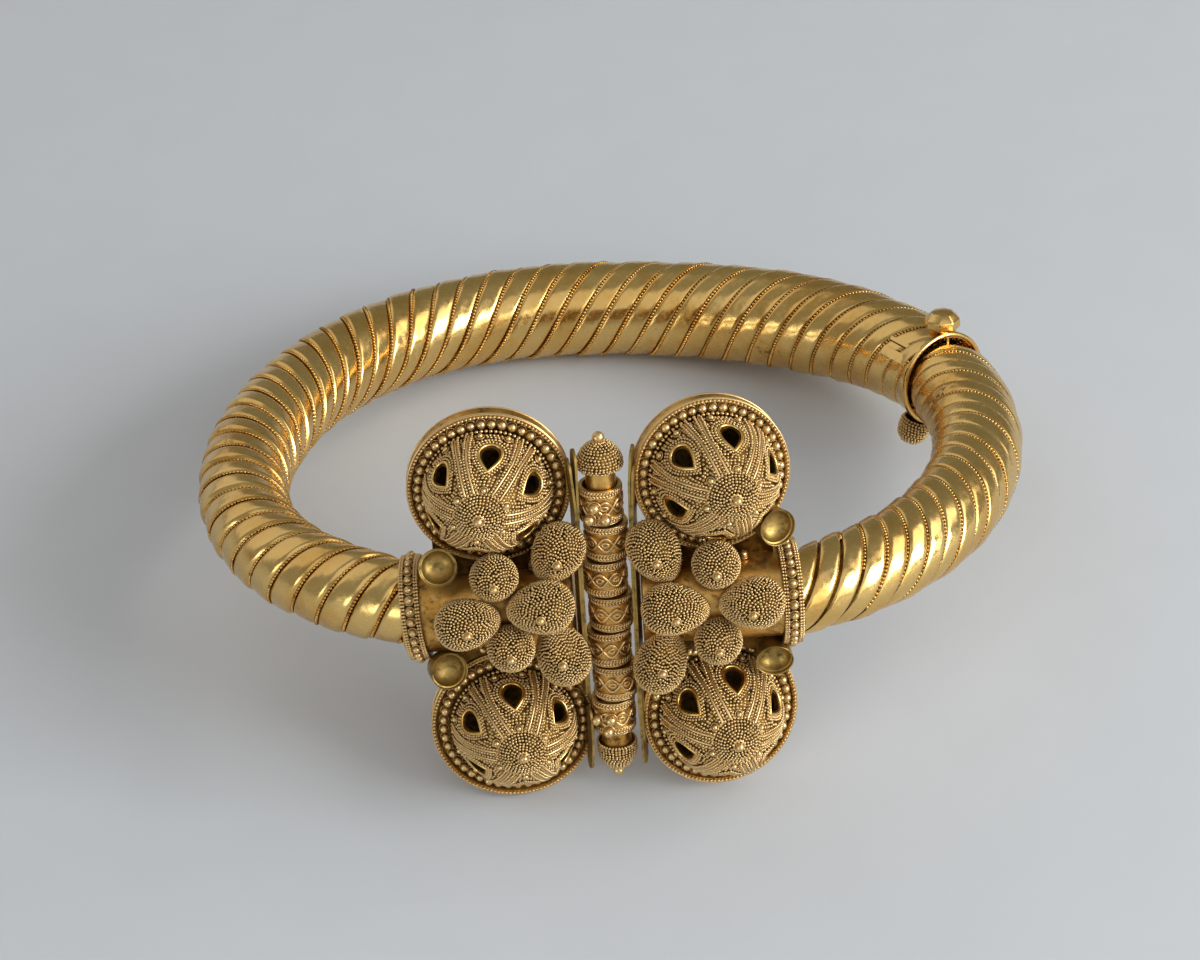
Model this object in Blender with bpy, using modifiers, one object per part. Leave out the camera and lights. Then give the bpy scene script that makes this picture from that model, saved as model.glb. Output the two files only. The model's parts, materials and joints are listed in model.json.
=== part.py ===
"""Gold armlet with a twisted shank in two arms, a pin hinge at the back and a jewelled clasp in front.

Everything is modelled in the ring's own frame, in metres: the origin is the centre of the oval shank,
+X is the wearer's left, +Y is the back, +Z is square to the oval, and the clasp stands at -Y. Angles
round the oval run counterclockwise from +X. At the end the whole armlet is tilted about X as it lies
when loose, on the backs of its lower roundels and the back of its shank, with its box centred on the
origin and its lowest point at z = 0.
"""

import math

import bmesh
import bpy
from mathutils import Matrix, Vector

MM = 0.001
GAP = 0.3 * MM

# The oval that the middle of the shank follows: a circle and its departures from it.
OVAL_MEAN_RADIUS = 45.8 * MM
OVAL_WIDER_THAN_DEEP = 1.6 * MM
OVAL_LEAN = -0.5 * MM
OVAL_SHORT_ARM_BULGE = 0.3 * MM
OVAL_LONG_ARM_BULGE = -0.4 * MM
OVAL_CORNERS = -0.5 * MM
OVAL_CORNER_LEAN = 0.6 * MM

# Outer radius of the shank at angles round the oval.
SHORT_ARM_RADII = ((-65, 5.0), (-48, 5.25), (-26, 5.45), (0, 5.6), (9, 5.7), (13, 5.5), (16, 4.9), (19, 3.9))
LONG_ARM_RADII = ((17, 6.45), (21, 6.05), (30, 6.25), (51, 6.7), (90, 6.45), (129, 6.1), (167, 5.95),
                  (206, 5.35), (224, 5.2), (240, 4.85))

# The twist: ribs a few millimetres wide that wind round the tube as a screw with several starts.
LONG_RIB_PITCH = math.radians(4.55)
LONG_RIB_STARTS = 5
SHORT_RIB_PITCH = math.radians(3.8)
SHORT_RIB_STARTS = 6
ROWS_PER_RIB = 3
SHANK_SIDES = 9
GROOVE_DEPTH = 0.4 * MM
BARE_END = math.radians(5)

# The hinge at the back right.
SOCKET_MOUTH_ANGLE = math.radians(17.9)
SOCKET_MOUTH_SLANT = math.radians(11)
SOCKET_FLOOR_ANGLE = math.radians(26.5)
SOCKET_RADIUS = 5.6 * MM
SHORT_ARM_END_ANGLE = math.radians(18.9)
HINGE_ANGLE = math.radians(19.6)
HINGE_OUTWARD = 1.3 * MM
HINGE_PIN_RADIUS = 0.8 * MM
HINGE_RUNNING_GAP = 0.35 * MM
TONGUE_RADIUS = 2.6 * MM
TONGUE_HEIGHT = 6.4 * MM
KNOB_RADIUS = 2.5 * MM
KNOB_FLATNESS = 0.66
KNOB_MIDDLE_HEIGHT = 8.0 * MM
PIN_FOOT_HEIGHT = -7.3 * MM
CAP_INWARD = 4.6 * MM

# The clasp, measured from the axis of its barrel.
BARREL = Vector((-1.2, -41.4, 0)) * MM
KNUCKLE_COUNT = 7
KNUCKLE_SIDES = 10
KNUCKLE_PITCH = 4.71 * MM
KNUCKLE_GAP = 0.4 * MM
KNUCKLE_RADIUS = 2.48 * MM
KNUCKLE_BORE = 2.08 * MM
KNUCKLE_OFFSET = 0.2 * MM
PIN_OFFSET = 0.05 * MM
PIN_NECK_RADIUS = 1.75 * MM
PIN_NECK_DEPTH = 3.2 * MM

PLATE_DISTANCE = 3.2 * MM
PLATE_THICKNESS = 0.5 * MM
PLATE_HEIGHT = 42.8 * MM
PLATE_DEPTH = 4.4 * MM
PLATE_END_STEPS = 6

CLASP_TUBE_RADIUS = 5.3 * MM
CLASP_TUBE_START = 3.9 * MM
CLASP_TUBE_MIDDLE = Vector((0, 1.0, 0.2)) * MM
CLASP_TUBE_SIDES = 16

COLLAR_RADIUS = 6.25 * MM
COLLAR_BORE = 5.65 * MM
COLLAR_WIDTH = 2.2 * MM
COLLAR_SIDES = 16
LEFT_COLLAR = Vector((-23.95, -38.3, -0.2)) * MM
RIGHT_COLLAR = Vector((19.95, -40.5, 0.15)) * MM
LEFT_COLLAR_AXIS = Vector((1, -0.05, 0.07)).normalized()
RIGHT_COLLAR_AXIS = Vector((1, 0.05, 0)).normalized()

# Each roundel: its half, distance from the barrel's axis to the side, and how high it is, how many
# degrees its face turns outward and upward, its radius, how far its apex leans to the right and up,
# and how many degrees its openings are turned counter-clockwise.
ROUNDELS = {
    "upper_left": (-1, 13.0, 16.3, -1.1, 0.0, 9.4, -1.3, 0.0, 19),
    "upper_right": (1, 12.75, 16.3, 8.4, 7.4, 9.1, 1.2, -0.65, 18),
    "lower_left": (-1, 12.3, -15.5, -1.3, 2.0, 9.7, 1.0, -0.2, 33),
    "lower_right": (1, 12.5, -15.3, 11.2, 9.0, 9.4, 0.1, -1.7, 20),
}
ROUNDEL_FORWARD = -0.85 * MM
ROUNDEL_BACK = 1.8 * MM
APEX_HEIGHT = 8.75 * MM
DOME_RADIUS = 7.2 * MM
DOME_HEIGHT = 7.9 * MM
DOME_WALL = 0.55 * MM
DOME_RINGS = 5
ROUNDEL_SIDES = 18
HOLLOW_SIDES = 12
HOLLOW_RINGS = 3
CAP_RADIUS = 2.75 * MM
OPENINGS_PER_DOME = 6
OPENING_LENGTH = 3.5 * MM
OPENING_WIDTH = 2.4 * MM
OPENING_LATITUDE = math.radians(34)
OPENING_SIDES = 7
OPENING_CUT_DEPTH = 1.1 * MM

# The plain tab behind each roundel, which joins it to the clasp tube.
TAB_WIDTH = 10 * MM
TAB_HEIGHT = 9.5 * MM
TAB_THICKNESS = 0.6 * MM
TAB_BELOW_ROUNDEL = 7.6 * MM

BOSS_SIDES = 9
BOSS_RINGS = 6

COLLET_RADIUS = 2.2 * MM
COLLET_BORE = 1.95 * MM
COLLET_DEPTH = 2.0 * MM
COLLET_LENGTH = 3.8 * MM
COLLET_SIDES = 12

# Each boss: distance from the barrel's axis to the side, then forward, then up, its length and width,
# how much narrower it grows towards its tip, and where the tip points, in degrees clockwise from up
# on the right half (the left half counts its tips the other way round).
RIGHT_BOSSES = {
    "upper_pear": (5.75, 2.6, 8.2, 7.9, 5.7, 0.18, 155),
    "upper_ball": (12.6, 4.1, 6.9, 5.1, 5.0, 0.0, 0),
    "inner_egg": (7.65, 5.8, 2.3, 7.7, 5.7, 0.22, 95),
    "outer_egg": (16.5, 5.8, 2.5, 7.4, 5.7, 0.20, -90),
    "lower_ball": (12.45, 5.4, -2.8, 5.1, 4.9, 0.0, 0),
    "lower_pear": (5.75, 3.9, -5.6, 7.9, 5.7, 0.18, 20),
}
LEFT_BOSSES = {
    "upper_pear": (5.65, 2.6, 9.1, 7.4, 5.7, 0.18, 150),
    "upper_ball": (13.1, 4.1, 7.0, 5.0, 4.9, 0.0, 0),
    "inner_egg": (7.9, 5.8, 3.6, 7.7, 5.9, 0.20, 95),
    "outer_egg": (16.4, 5.8, 1.9, 7.7, 5.7, 0.20, -80),
    "lower_ball": (11.7, 5.6, -2.5, 5.1, 5.0, 0.0, 0),
    "lower_pear": (5.8, 4.1, -4.4, 7.8, 5.9, 0.18, 25),
}

# Each collet: distance to the side, forward and up of the middle of its mouth, and how many degrees
# its mouth is turned outward and upward from straight ahead.
RIGHT_COLLETS = {
    "upper": (20.0, 2.6, 10.4, 24, 6),
    "lower": (19.1, 2.2, -7.5, 0, -12),
}
LEFT_COLLETS = {
    "upper": (19.4, 4.0, 8.7, 0, 26),
    "lower": (19.2, 2.4, -6.6, -20, 14),
}


def clear_scene():
    for obj in list(bpy.data.objects):
        bpy.data.objects.remove(obj)


def new_collection(name):
    collection = bpy.data.collections.new(name)
    bpy.context.scene.collection.children.link(collection)
    return collection


def gold(name, colour, roughness):
    material = bpy.data.materials.new(name)
    material.use_nodes = True
    shader = material.node_tree.nodes["Principled BSDF"]
    shader.inputs["Base Color"].default_value = (*colour, 1)
    shader.inputs["Metallic"].default_value = 1
    shader.inputs["Roughness"].default_value = roughness
    return material


class Workshop:
    """The collections, finishes and empties that every piece is hung on."""

    def __init__(self):
        self.armlet = new_collection("armlet")
        self.cutters = new_collection("cutters")
        self.smooth = gold("smooth sheet gold", (0.62, 0.44, 0.17), 0.28)
        self.clasp = gold("clasp sheet gold", (0.56, 0.34, 0.11), 0.34)
        self.granulated = gold("granulated gold", (0.52, 0.31, 0.10), 0.42)
        self.rest = self.empty("armlet_at_rest", None, Vector())
        self.hinge = self.empty("hinge_axis", self.rest, hinge_position())

    def empty(self, name, parent, position):
        empty = bpy.data.objects.new(name, None)
        empty.parent = parent
        empty.location = position
        self.armlet.objects.link(empty)
        return empty

    def add(self, name, mesh, arm, placement=Matrix()):
        """Hang a mesh, placed in the ring's frame, on the long arm or on the hinged short one."""
        obj = bpy.data.objects.new(name, mesh)
        obj.parent = self.hinge if arm == "short" else self.rest
        offset = self.hinge.location if arm == "short" else Vector()
        obj.matrix_basis = Matrix.Translation(-offset) @ placement
        self.armlet.objects.link(obj)
        return obj

    def cutter(self, name, mesh, arm, placement=Matrix()):
        obj = self.add(name, mesh, arm, placement)
        self.armlet.objects.unlink(obj)
        self.cutters.objects.link(obj)
        obj.hide_render = True
        obj.display_type = "WIRE"
        return obj


def finish(obj, material, smooth_angle=35):
    mesh = obj.data
    mesh.materials.clear()
    mesh.materials.append(material)
    mesh.shade_smooth()
    mesh.set_sharp_from_angle(angle=math.radians(smooth_angle))


def boolean(obj, operation, tool):
    modifier = obj.modifiers.new(f"{operation.lower()} {tool.name}", "BOOLEAN")
    modifier.operation = operation
    modifier.object = tool


def oval_point(angle):
    radius = (
        OVAL_MEAN_RADIUS
        + OVAL_WIDER_THAN_DEEP * math.cos(2 * angle)
        + OVAL_LEAN * math.sin(2 * angle)
        + OVAL_SHORT_ARM_BULGE * math.cos(3 * angle)
        + OVAL_LONG_ARM_BULGE * math.sin(3 * angle)
        + OVAL_CORNERS * math.cos(4 * angle)
        + OVAL_CORNER_LEAN * math.sin(4 * angle)
    )
    return Vector((radius * math.cos(angle), radius * math.sin(angle), 0))


def oval_directions(angle):
    """The forward and outward directions of the oval at an angle."""
    step = math.radians(0.5)
    forward = (oval_point(angle + step) - oval_point(angle - step)).normalized()
    outward = Vector((forward.y, -forward.x, 0))
    return forward, outward


def hinge_position():
    outward = oval_directions(HINGE_ANGLE)[1]
    return oval_point(HINGE_ANGLE) + outward * HINGE_OUTWARD


def radius_at(stations, angle):
    """Radius between two stations, eased so that the tube swells without a corner."""
    degrees = math.degrees(angle)
    if degrees <= stations[0][0]:
        return stations[0][1] * MM
    for (low, first), (high, second) in zip(stations, stations[1:]):
        if degrees <= high:
            share = (degrees - low) / (high - low)
            eased = share * share * (3 - 2 * share)
            return (first + (second - first) * eased) * MM
    return stations[-1][1] * MM


def direction_matrix(axis, up=Vector((0, 0, 1))):
    """Rotation that turns local +Z to the axis and keeps local +Y as close to up as it can."""
    z_axis = axis.normalized()
    x_axis = up.cross(z_axis).normalized()
    y_axis = z_axis.cross(x_axis)
    return Matrix((x_axis, y_axis, z_axis)).transposed().to_4x4()


def mesh_from(bm, name):
    bmesh.ops.recalc_face_normals(bm, faces=bm.faces)
    mesh = bpy.data.meshes.new(name)
    bm.to_mesh(mesh)
    bm.free()
    return mesh


def cut_flat(bm, faces, point, normal):
    """Cut the faces at a plane, drop what lies on the normal's side and close the hole."""
    edges = {edge for face in faces for edge in face.edges}
    verts = {vert for face in faces for vert in face.verts}
    bmesh.ops.bisect_plane(
        bm, geom=[*verts, *edges, *faces], dist=1e-7, plane_co=point, plane_no=normal, clear_outer=True
    )
    rim = [edge for edge in bm.edges if edge.is_boundary and edge_on_plane(edge, point, normal)]
    bmesh.ops.contextual_create(bm, geom=rim)


def edge_on_plane(edge, point, normal):
    return all(abs((vert.co - point).dot(normal)) < 1e-6 for vert in edge.verts)


def faces_near(bm, place, reach):
    return [face for face in bm.faces if (face.calc_center_median() - place).length < reach]


def twisted_tube(start, end, pitch, starts, stations, bare):
    """Loft the twisted tube with rows that run along its grooves, so that each groove is a true edge.

    A row climbs round the tube as it goes: after a full turn it has gone on by as many ribs as the
    twist has starts, and there it meets the row that begins in that place.
    """
    bm = bmesh.new()
    row_step = pitch / ROWS_PER_RIB
    turn_rows = ROWS_PER_RIB * starts
    first_row = math.floor(start / row_step) - turn_rows - ROWS_PER_RIB
    last_row = math.ceil(end / row_step) + ROWS_PER_RIB
    to_corner = 1 / math.cos(math.pi / SHANK_SIDES) ** 0.5
    verts = {}
    for row in range(first_row, last_row + 1):
        for side in range(SHANK_SIDES):
            share = side / SHANK_SIDES
            angle = (row + turn_rows * share) * row_step
            turn = math.tau * share
            radius = radius_at(stations, angle)
            if row % ROWS_PER_RIB == 0 and bare[0] < angle < bare[1]:
                radius -= GROOVE_DEPTH
            outward = oval_directions(angle)[1]
            reach = radius * to_corner
            rise = Vector((0, 0, math.sin(turn) * reach))
            verts[row, side] = bm.verts.new(oval_point(angle) + outward * math.cos(turn) * reach + rise)
    for row in range(first_row, last_row):
        for side in range(SHANK_SIDES):
            beside = (row, side + 1) if side + 1 < SHANK_SIDES else (row + turn_rows, 0)
            corners = (row, side), beside, (beside[0] + 1, beside[1]), (row + 1, side)
            if all(corner in verts for corner in corners):
                bm.faces.new([verts[corner] for corner in corners])
    return bm


def drop_loose(bm):
    loose = [vert for vert in bm.verts if not vert.link_faces]
    bmesh.ops.delete(bm, geom=loose, context="VERTS")


def sweep(name, points, radius, bevel_resolution):
    """A round bar along points: a curve made a mesh, with its caps welded on."""
    curve = bpy.data.curves.new(name, "CURVE")
    curve.dimensions = "3D"
    curve.bevel_depth = radius
    curve.bevel_resolution = bevel_resolution
    curve.use_fill_caps = True
    spline = curve.splines.new("POLY")
    spline.points.add(len(points) - 1)
    for spline_point, point in zip(spline.points, points):
        spline_point.co = (*point, 1)
    obj = bpy.data.objects.new(name, curve)
    bpy.context.scene.collection.objects.link(obj)
    mesh = baked(obj)
    bm = bmesh.new()
    bm.from_mesh(mesh)
    bmesh.ops.remove_doubles(bm, verts=bm.verts, dist=1e-6)
    return mesh_from(bm, name)


def baked(obj):
    """The evaluated mesh of an object that is then removed."""
    bpy.context.view_layer.update()
    graph = bpy.context.evaluated_depsgraph_get()
    mesh = bpy.data.meshes.new_from_object(obj.evaluated_get(graph))
    bpy.data.objects.remove(obj)
    return mesh


def cylinder(name, bottom, top, radius, sides):
    bm = bmesh.new()
    axis = top - bottom
    placement = Matrix.Translation((bottom + top) / 2) @ direction_matrix(axis, Vector((0.3, 1, 0.1)))
    bmesh.ops.create_cone(
        bm, cap_ends=True, segments=sides, radius1=radius, radius2=radius, depth=axis.length,
        matrix=placement
    )
    return mesh_from(bm, name)


def turned(name, profile, steps, closed=False):
    """A turned shape: the profile of (radius, height) points, run down its outer side, spun round Z."""
    bm = bmesh.new()
    verts = [bm.verts.new((radius, 0, height)) for radius, height in profile]
    pairs = list(zip(verts, verts[1:]))
    if closed:
        pairs.append((verts[-1], verts[0]))
    for pair in pairs:
        bm.edges.new(pair)
    mesh = bpy.data.meshes.new(name)
    bm.to_mesh(mesh)
    bm.free()
    obj = bpy.data.objects.new(name, mesh)
    bpy.context.scene.collection.objects.link(obj)
    screw = obj.modifiers.new("spin", "SCREW")
    screw.steps = steps
    screw.render_steps = steps
    screw.use_merge_vertices = True
    screw.merge_threshold = 0.00001
    return baked(obj)


def long_shank(shop):
    left_plane = LEFT_COLLAR - LEFT_COLLAR_AXIS * (COLLAR_WIDTH + GAP) / 2
    mouth_axis = Matrix.Rotation(SOCKET_MOUTH_SLANT, 3, "Z") @ oval_directions(SOCKET_MOUTH_ANGLE)[0]
    mouth = oval_point(SOCKET_MOUTH_ANGLE)
    end_angle = math.atan2(LEFT_COLLAR.y, LEFT_COLLAR.x) % math.tau
    bare = (SOCKET_MOUTH_ANGLE + BARE_END / 2, end_angle)
    bm = twisted_tube(SOCKET_MOUTH_ANGLE, end_angle + BARE_END, LONG_RIB_PITCH, LONG_RIB_STARTS,
                      LONG_ARM_RADII, bare)
    reach = 0.6 * OVAL_MEAN_RADIUS
    cut_flat(bm, faces_near(bm, mouth, reach), mouth, -mouth_axis)
    cut_flat(bm, faces_near(bm, LEFT_COLLAR, reach), left_plane, LEFT_COLLAR_AXIS)
    drop_loose(bm)
    shank = shop.add("long_shank", mesh_from(bm, "long_shank"), "long")
    finish(shank, shop.smooth)

    past_mouth = SOCKET_MOUTH_ANGLE - BARE_END
    steps = 6
    angles = [past_mouth + (SOCKET_FLOOR_ANGLE - past_mouth) * step / steps for step in range(steps + 1)]
    hollow = sweep("socket_hollow", [oval_point(angle) for angle in angles], SOCKET_RADIUS, 3)
    boolean(shank, "DIFFERENCE", shop.cutter("socket_hollow", hollow, "long"))
    pin_hole = cylinder("pin_holes", hinge_position() - Vector((0, 0, COLLAR_RADIUS * 1.5)),
                        hinge_position() + Vector((0, 0, COLLAR_RADIUS * 1.5)),
                        HINGE_PIN_RADIUS + GAP, COLLET_SIDES)
    boolean(shank, "DIFFERENCE", shop.cutter("pin_holes", pin_hole, "long"))


def short_shank(shop):
    right_plane = RIGHT_COLLAR + RIGHT_COLLAR_AXIS * (COLLAR_WIDTH + GAP) / 2
    end_axis = oval_directions(SHORT_ARM_END_ANGLE)[0]
    end = oval_point(SHORT_ARM_END_ANGLE)
    start_angle = math.atan2(RIGHT_COLLAR.y, RIGHT_COLLAR.x)
    bare = (start_angle + BARE_END / 2, SHORT_ARM_END_ANGLE - BARE_END)
    bm = twisted_tube(start_angle - BARE_END, SHORT_ARM_END_ANGLE, SHORT_RIB_PITCH, SHORT_RIB_STARTS,
                      SHORT_ARM_RADII, bare)
    reach = 0.6 * OVAL_MEAN_RADIUS
    cut_flat(bm, faces_near(bm, end, reach), end, end_axis)
    cut_flat(bm, faces_near(bm, RIGHT_COLLAR, reach), right_plane, -RIGHT_COLLAR_AXIS)
    drop_loose(bm)
    shank = shop.add("short_shank", mesh_from(bm, "short_shank"), "short")
    finish(shank, shop.smooth)

    half = Vector((0, 0, TONGUE_HEIGHT / 2))
    centre = hinge_position()
    tongue = cylinder("tongue", centre - half, centre + half, TONGUE_RADIUS, CLASP_TUBE_SIDES)
    boolean(shank, "UNION", shop.cutter("tongue", tongue, "short"))
    bore = cylinder("tongue_bore", centre - half * 1.5, centre + half * 1.5,
                    HINGE_PIN_RADIUS + HINGE_RUNNING_GAP, COLLET_SIDES)
    boolean(shank, "DIFFERENCE", shop.cutter("tongue_bore", bore, "short"))


def hinge_pin(shop):
    """The upright pin, its faceted knob, and its foot bent inward to the small cap."""
    top = hinge_position() + Vector((0, 0, KNOB_MIDDLE_HEIGHT))
    foot = hinge_position() + Vector((0, 0, PIN_FOOT_HEIGHT))
    inward = -oval_directions(HINGE_ANGLE)[1]
    bend = HINGE_PIN_RADIUS
    route = [top, foot + Vector((0, 0, bend)), foot + inward * bend, foot + inward * CAP_INWARD]
    pin = shop.add("hinge_pin", sweep("hinge_pin", route, HINGE_PIN_RADIUS, 2), "long")
    finish(pin, shop.smooth)

    bm = bmesh.new()
    bmesh.ops.create_uvsphere(bm, u_segments=8, v_segments=6, radius=KNOB_RADIUS)
    bmesh.ops.scale(bm, verts=bm.verts, vec=(1, 1, KNOB_FLATNESS))
    knob = shop.cutter("knob", mesh_from(bm, "knob"), "long", Matrix.Translation(top))
    boolean(pin, "UNION", knob)

    profile = ((0, 1.3), (1.4, 1.3), (2.1, 0.5), (2.1, -0.4), (1.4, -1.6), (0, -2.1))
    cap = turned("cap", [(radius * MM, height * MM) for radius, height in profile], 10)
    place = foot + inward * CAP_INWARD
    boolean(pin, "UNION", shop.cutter("cap", cap, "long", Matrix.Translation(place)))


def clasp_side(side):
    """Names of a clasp half: +1 is the right half, on the short arm, and -1 the left one."""
    return ("right", "short") if side > 0 else ("left", "long")


def clasp_point(side, across, forward, up):
    return BARREL + Vector((side * across, -forward, up))


def collar_place(side):
    """Centre of a half's collar and the direction of its axis, away from the barrel."""
    return (RIGHT_COLLAR, RIGHT_COLLAR_AXIS) if side > 0 else (LEFT_COLLAR, -LEFT_COLLAR_AXIS)


def clasp_tube_start(side):
    return clasp_point(side, CLASP_TUBE_START, 0, 0) + CLASP_TUBE_MIDDLE


def clasp_tube(shop, side):
    """The plain tube of one half, cut square to X at the plate and flush with the collar's far face."""
    name, arm = clasp_side(side)
    start = clasp_tube_start(side)
    middle, axis = collar_place(side)
    along = (middle - start).normalized()
    bm = bmesh.new()
    tube = cylinder("clasp_tube", start - along * CLASP_TUBE_RADIUS, middle + along * CLASP_TUBE_RADIUS,
                    CLASP_TUBE_RADIUS, CLASP_TUBE_SIDES)
    bm.from_mesh(tube)
    cut_flat(bm, bm.faces[:], start, Vector((-side, 0, 0)))
    cut_flat(bm, bm.faces[:], middle + axis * COLLAR_WIDTH / 2, axis)
    drop_loose(bm)
    body = shop.add(f"{name}_clasp_tube", mesh_from(bm, f"{name}_clasp_tube"), arm)
    finish(body, shop.clasp)


def collar(shop, side):
    name, arm = clasp_side(side)
    centre, axis = collar_place(side)
    half = COLLAR_WIDTH / 2
    profile = ((COLLAR_RADIUS, half), (COLLAR_RADIUS, -half), (COLLAR_BORE, -half), (COLLAR_BORE, half))
    band = turned(f"{name}_collar", profile, COLLAR_SIDES, closed=True)
    placement = Matrix.Translation(centre) @ direction_matrix(axis)
    finish(shop.add(f"{name}_collar", band, arm, placement), shop.granulated)


def side_plate(shop, side, roundel_seats):
    """An upright strip with round ends: a flat outline, as deep as the strip, given its thickness.

    It is notched where the edge of a roundel passes behind it.
    """
    name, arm = clasp_side(side)
    radius = PLATE_DEPTH / 2
    straight = PLATE_HEIGHT / 2 - radius
    outline = []
    for end in (1, -1):
        for step in range(PLATE_END_STEPS + 1):
            angle = math.pi * step / PLATE_END_STEPS
            outline.append((end * radius * math.cos(angle), end * (straight + radius * math.sin(angle))))
    curve = bpy.data.curves.new(f"{name}_side_plate", "CURVE")
    curve.dimensions = "2D"
    curve.fill_mode = "BOTH"
    curve.extrude = PLATE_THICKNESS / 2
    spline = curve.splines.new("POLY")
    spline.points.add(len(outline) - 1)
    for spline_point, (depth, height) in zip(spline.points, outline):
        spline_point.co = (depth, height, 0, 1)
    spline.use_cyclic_u = True
    strip = bpy.data.objects.new(curve.name, curve)
    bpy.context.scene.collection.objects.link(strip)
    bm = bmesh.new()
    bm.from_mesh(baked(strip))
    bmesh.ops.remove_doubles(bm, verts=bm.verts, dist=1e-6)
    placement = (Matrix.Translation(clasp_point(side, PLATE_DISTANCE, 0, 0))
                 @ direction_matrix(Vector((1, 0, 0))))
    plate = shop.add(curve.name, mesh_from(bm, curve.name), arm, placement)
    for seat in roundel_seats:
        boolean(plate, "DIFFERENCE", seat)
    finish(plate, shop.clasp)


def dome_profile(outer_radius, grow=0.0):
    """Upper side of a roundel from the middle of its granulated cap down to its back."""
    cap_top = DOME_HEIGHT + 0.25 * MM
    points = [(0, cap_top + grow), (CAP_RADIUS * 0.6 + grow, cap_top - 0.45 * MM + grow)]
    start = math.asin((CAP_RADIUS + 0.1 * MM) / DOME_RADIUS)
    for ring in range(DOME_RINGS):
        slope = start + (math.pi / 2 - start) * ring / (DOME_RINGS - 1)
        points.append(((DOME_RADIUS + grow) * math.sin(slope), (DOME_HEIGHT + grow) * math.cos(slope)))
    bead = 0.5 * MM
    points[-1] = (DOME_RADIUS + grow, bead + grow)
    points.append((DOME_RADIUS + bead + grow, grow))
    points.append((outer_radius - 1.1 * MM, grow))
    points.append((outer_radius - 0.7 * MM, bead + grow))
    points.append((outer_radius + grow, 0.2 * MM + grow))
    points.append((outer_radius + grow, -ROUNDEL_BACK - grow))
    points.append((0, -ROUNDEL_BACK - grow))
    return points


def lean_dome(mesh, across, upward):
    """Lean everything in front of a roundel's face, so that its apex comes to the given offset."""
    for vert in mesh.vertices:
        share = max(0, vert.co.z) / APEX_HEIGHT
        vert.co.x += across * MM * share
        vert.co.y += upward * MM * share


def opening_cutters(name, turn):
    """Six teardrop plugs round the dome, each tip towards the apex, long enough to pierce the wall."""
    bm = bmesh.new()
    for index in range(OPENINGS_PER_DOME):
        plug = bmesh.new()
        rim = []
        for step in range(OPENING_SIDES):
            angle = math.tau * step / OPENING_SIDES
            along = OPENING_LENGTH / 2 * math.cos(angle)
            across = OPENING_WIDTH / 2 * math.sin(angle) * 1.3 * math.sin(angle / 2)
            rim.append(plug.verts.new((across, along, -OPENING_CUT_DEPTH)))
        floor = plug.faces.new(rim)
        top = bmesh.ops.extrude_face_region(plug, geom=[floor])["geom"]
        moved = [part for part in top if isinstance(part, bmesh.types.BMVert)]
        bmesh.ops.translate(plug, verts=moved, vec=(0, 0, 2 * OPENING_CUT_DEPTH))
        bmesh.ops.recalc_face_normals(plug, faces=plug.faces)
        spot = Vector((math.cos(OPENING_LATITUDE) * DOME_RADIUS, 0,
                       math.sin(OPENING_LATITUDE) * DOME_HEIGHT))
        normal = Vector((spot.x / DOME_RADIUS ** 2, 0, spot.z / DOME_HEIGHT ** 2)).normalized()
        place = (Matrix.Rotation(turn + math.tau * index / OPENINGS_PER_DOME, 4, "Z")
                 @ Matrix.Translation(spot) @ direction_matrix(normal))
        plug.transform(place)
        piece = bpy.data.meshes.new(name)
        plug.to_mesh(piece)
        plug.free()
        bm.from_mesh(piece)
    return mesh_from(bm, name)


def roundel_mesh(outer_radius, across, upward, turn):
    """A hollow dome on a low flat box, pierced by six teardrops."""
    roundel = bpy.data.objects.new("roundel", turned("roundel", dome_profile(outer_radius), ROUNDEL_SIDES))
    inner_radius = DOME_RADIUS - DOME_WALL
    inner_height = DOME_HEIGHT - DOME_WALL
    slopes = [math.pi / 2 * ring / HOLLOW_RINGS for ring in range(HOLLOW_RINGS)]
    profile = [(inner_radius * math.sin(slope), inner_height * math.cos(slope)) for slope in slopes]
    profile += [(inner_radius, 0), (inner_radius, -ROUNDEL_BACK / 2), (0, -ROUNDEL_BACK / 2)]
    hollow = bpy.data.objects.new("dome_hollow", turned("dome_hollow", profile, HOLLOW_SIDES))
    plugs = bpy.data.objects.new("dome_openings", opening_cutters("dome_openings", turn))
    for obj in (roundel, hollow, plugs):
        bpy.context.scene.collection.objects.link(obj)
    boolean(roundel, "DIFFERENCE", hollow)
    boolean(roundel, "DIFFERENCE", plugs)
    mesh = baked(roundel)
    bpy.data.objects.remove(hollow)
    bpy.data.objects.remove(plugs)
    lean_dome(mesh, across, upward)
    return mesh


def roundel_placement(row):
    side, distance, height, outward, upward = ROUNDELS[row][:5]
    yaw = math.radians(outward) * side
    pitch = math.radians(upward)
    axis = Vector((math.sin(yaw) * math.cos(pitch), -math.cos(yaw) * math.cos(pitch), math.sin(pitch)))
    centre = clasp_point(side, distance * MM, ROUNDEL_FORWARD, height * MM)
    return Matrix.Translation(centre) @ direction_matrix(axis)


def roundels(shop):
    for row, (side, *_, radius, across, upward, turn) in ROUNDELS.items():
        arm = clasp_side(side)[1]
        mesh = roundel_mesh(radius * MM, across, upward, math.radians(turn))
        finish(shop.add(f"roundel_{row}", mesh, arm, roundel_placement(row)), shop.granulated)


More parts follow.
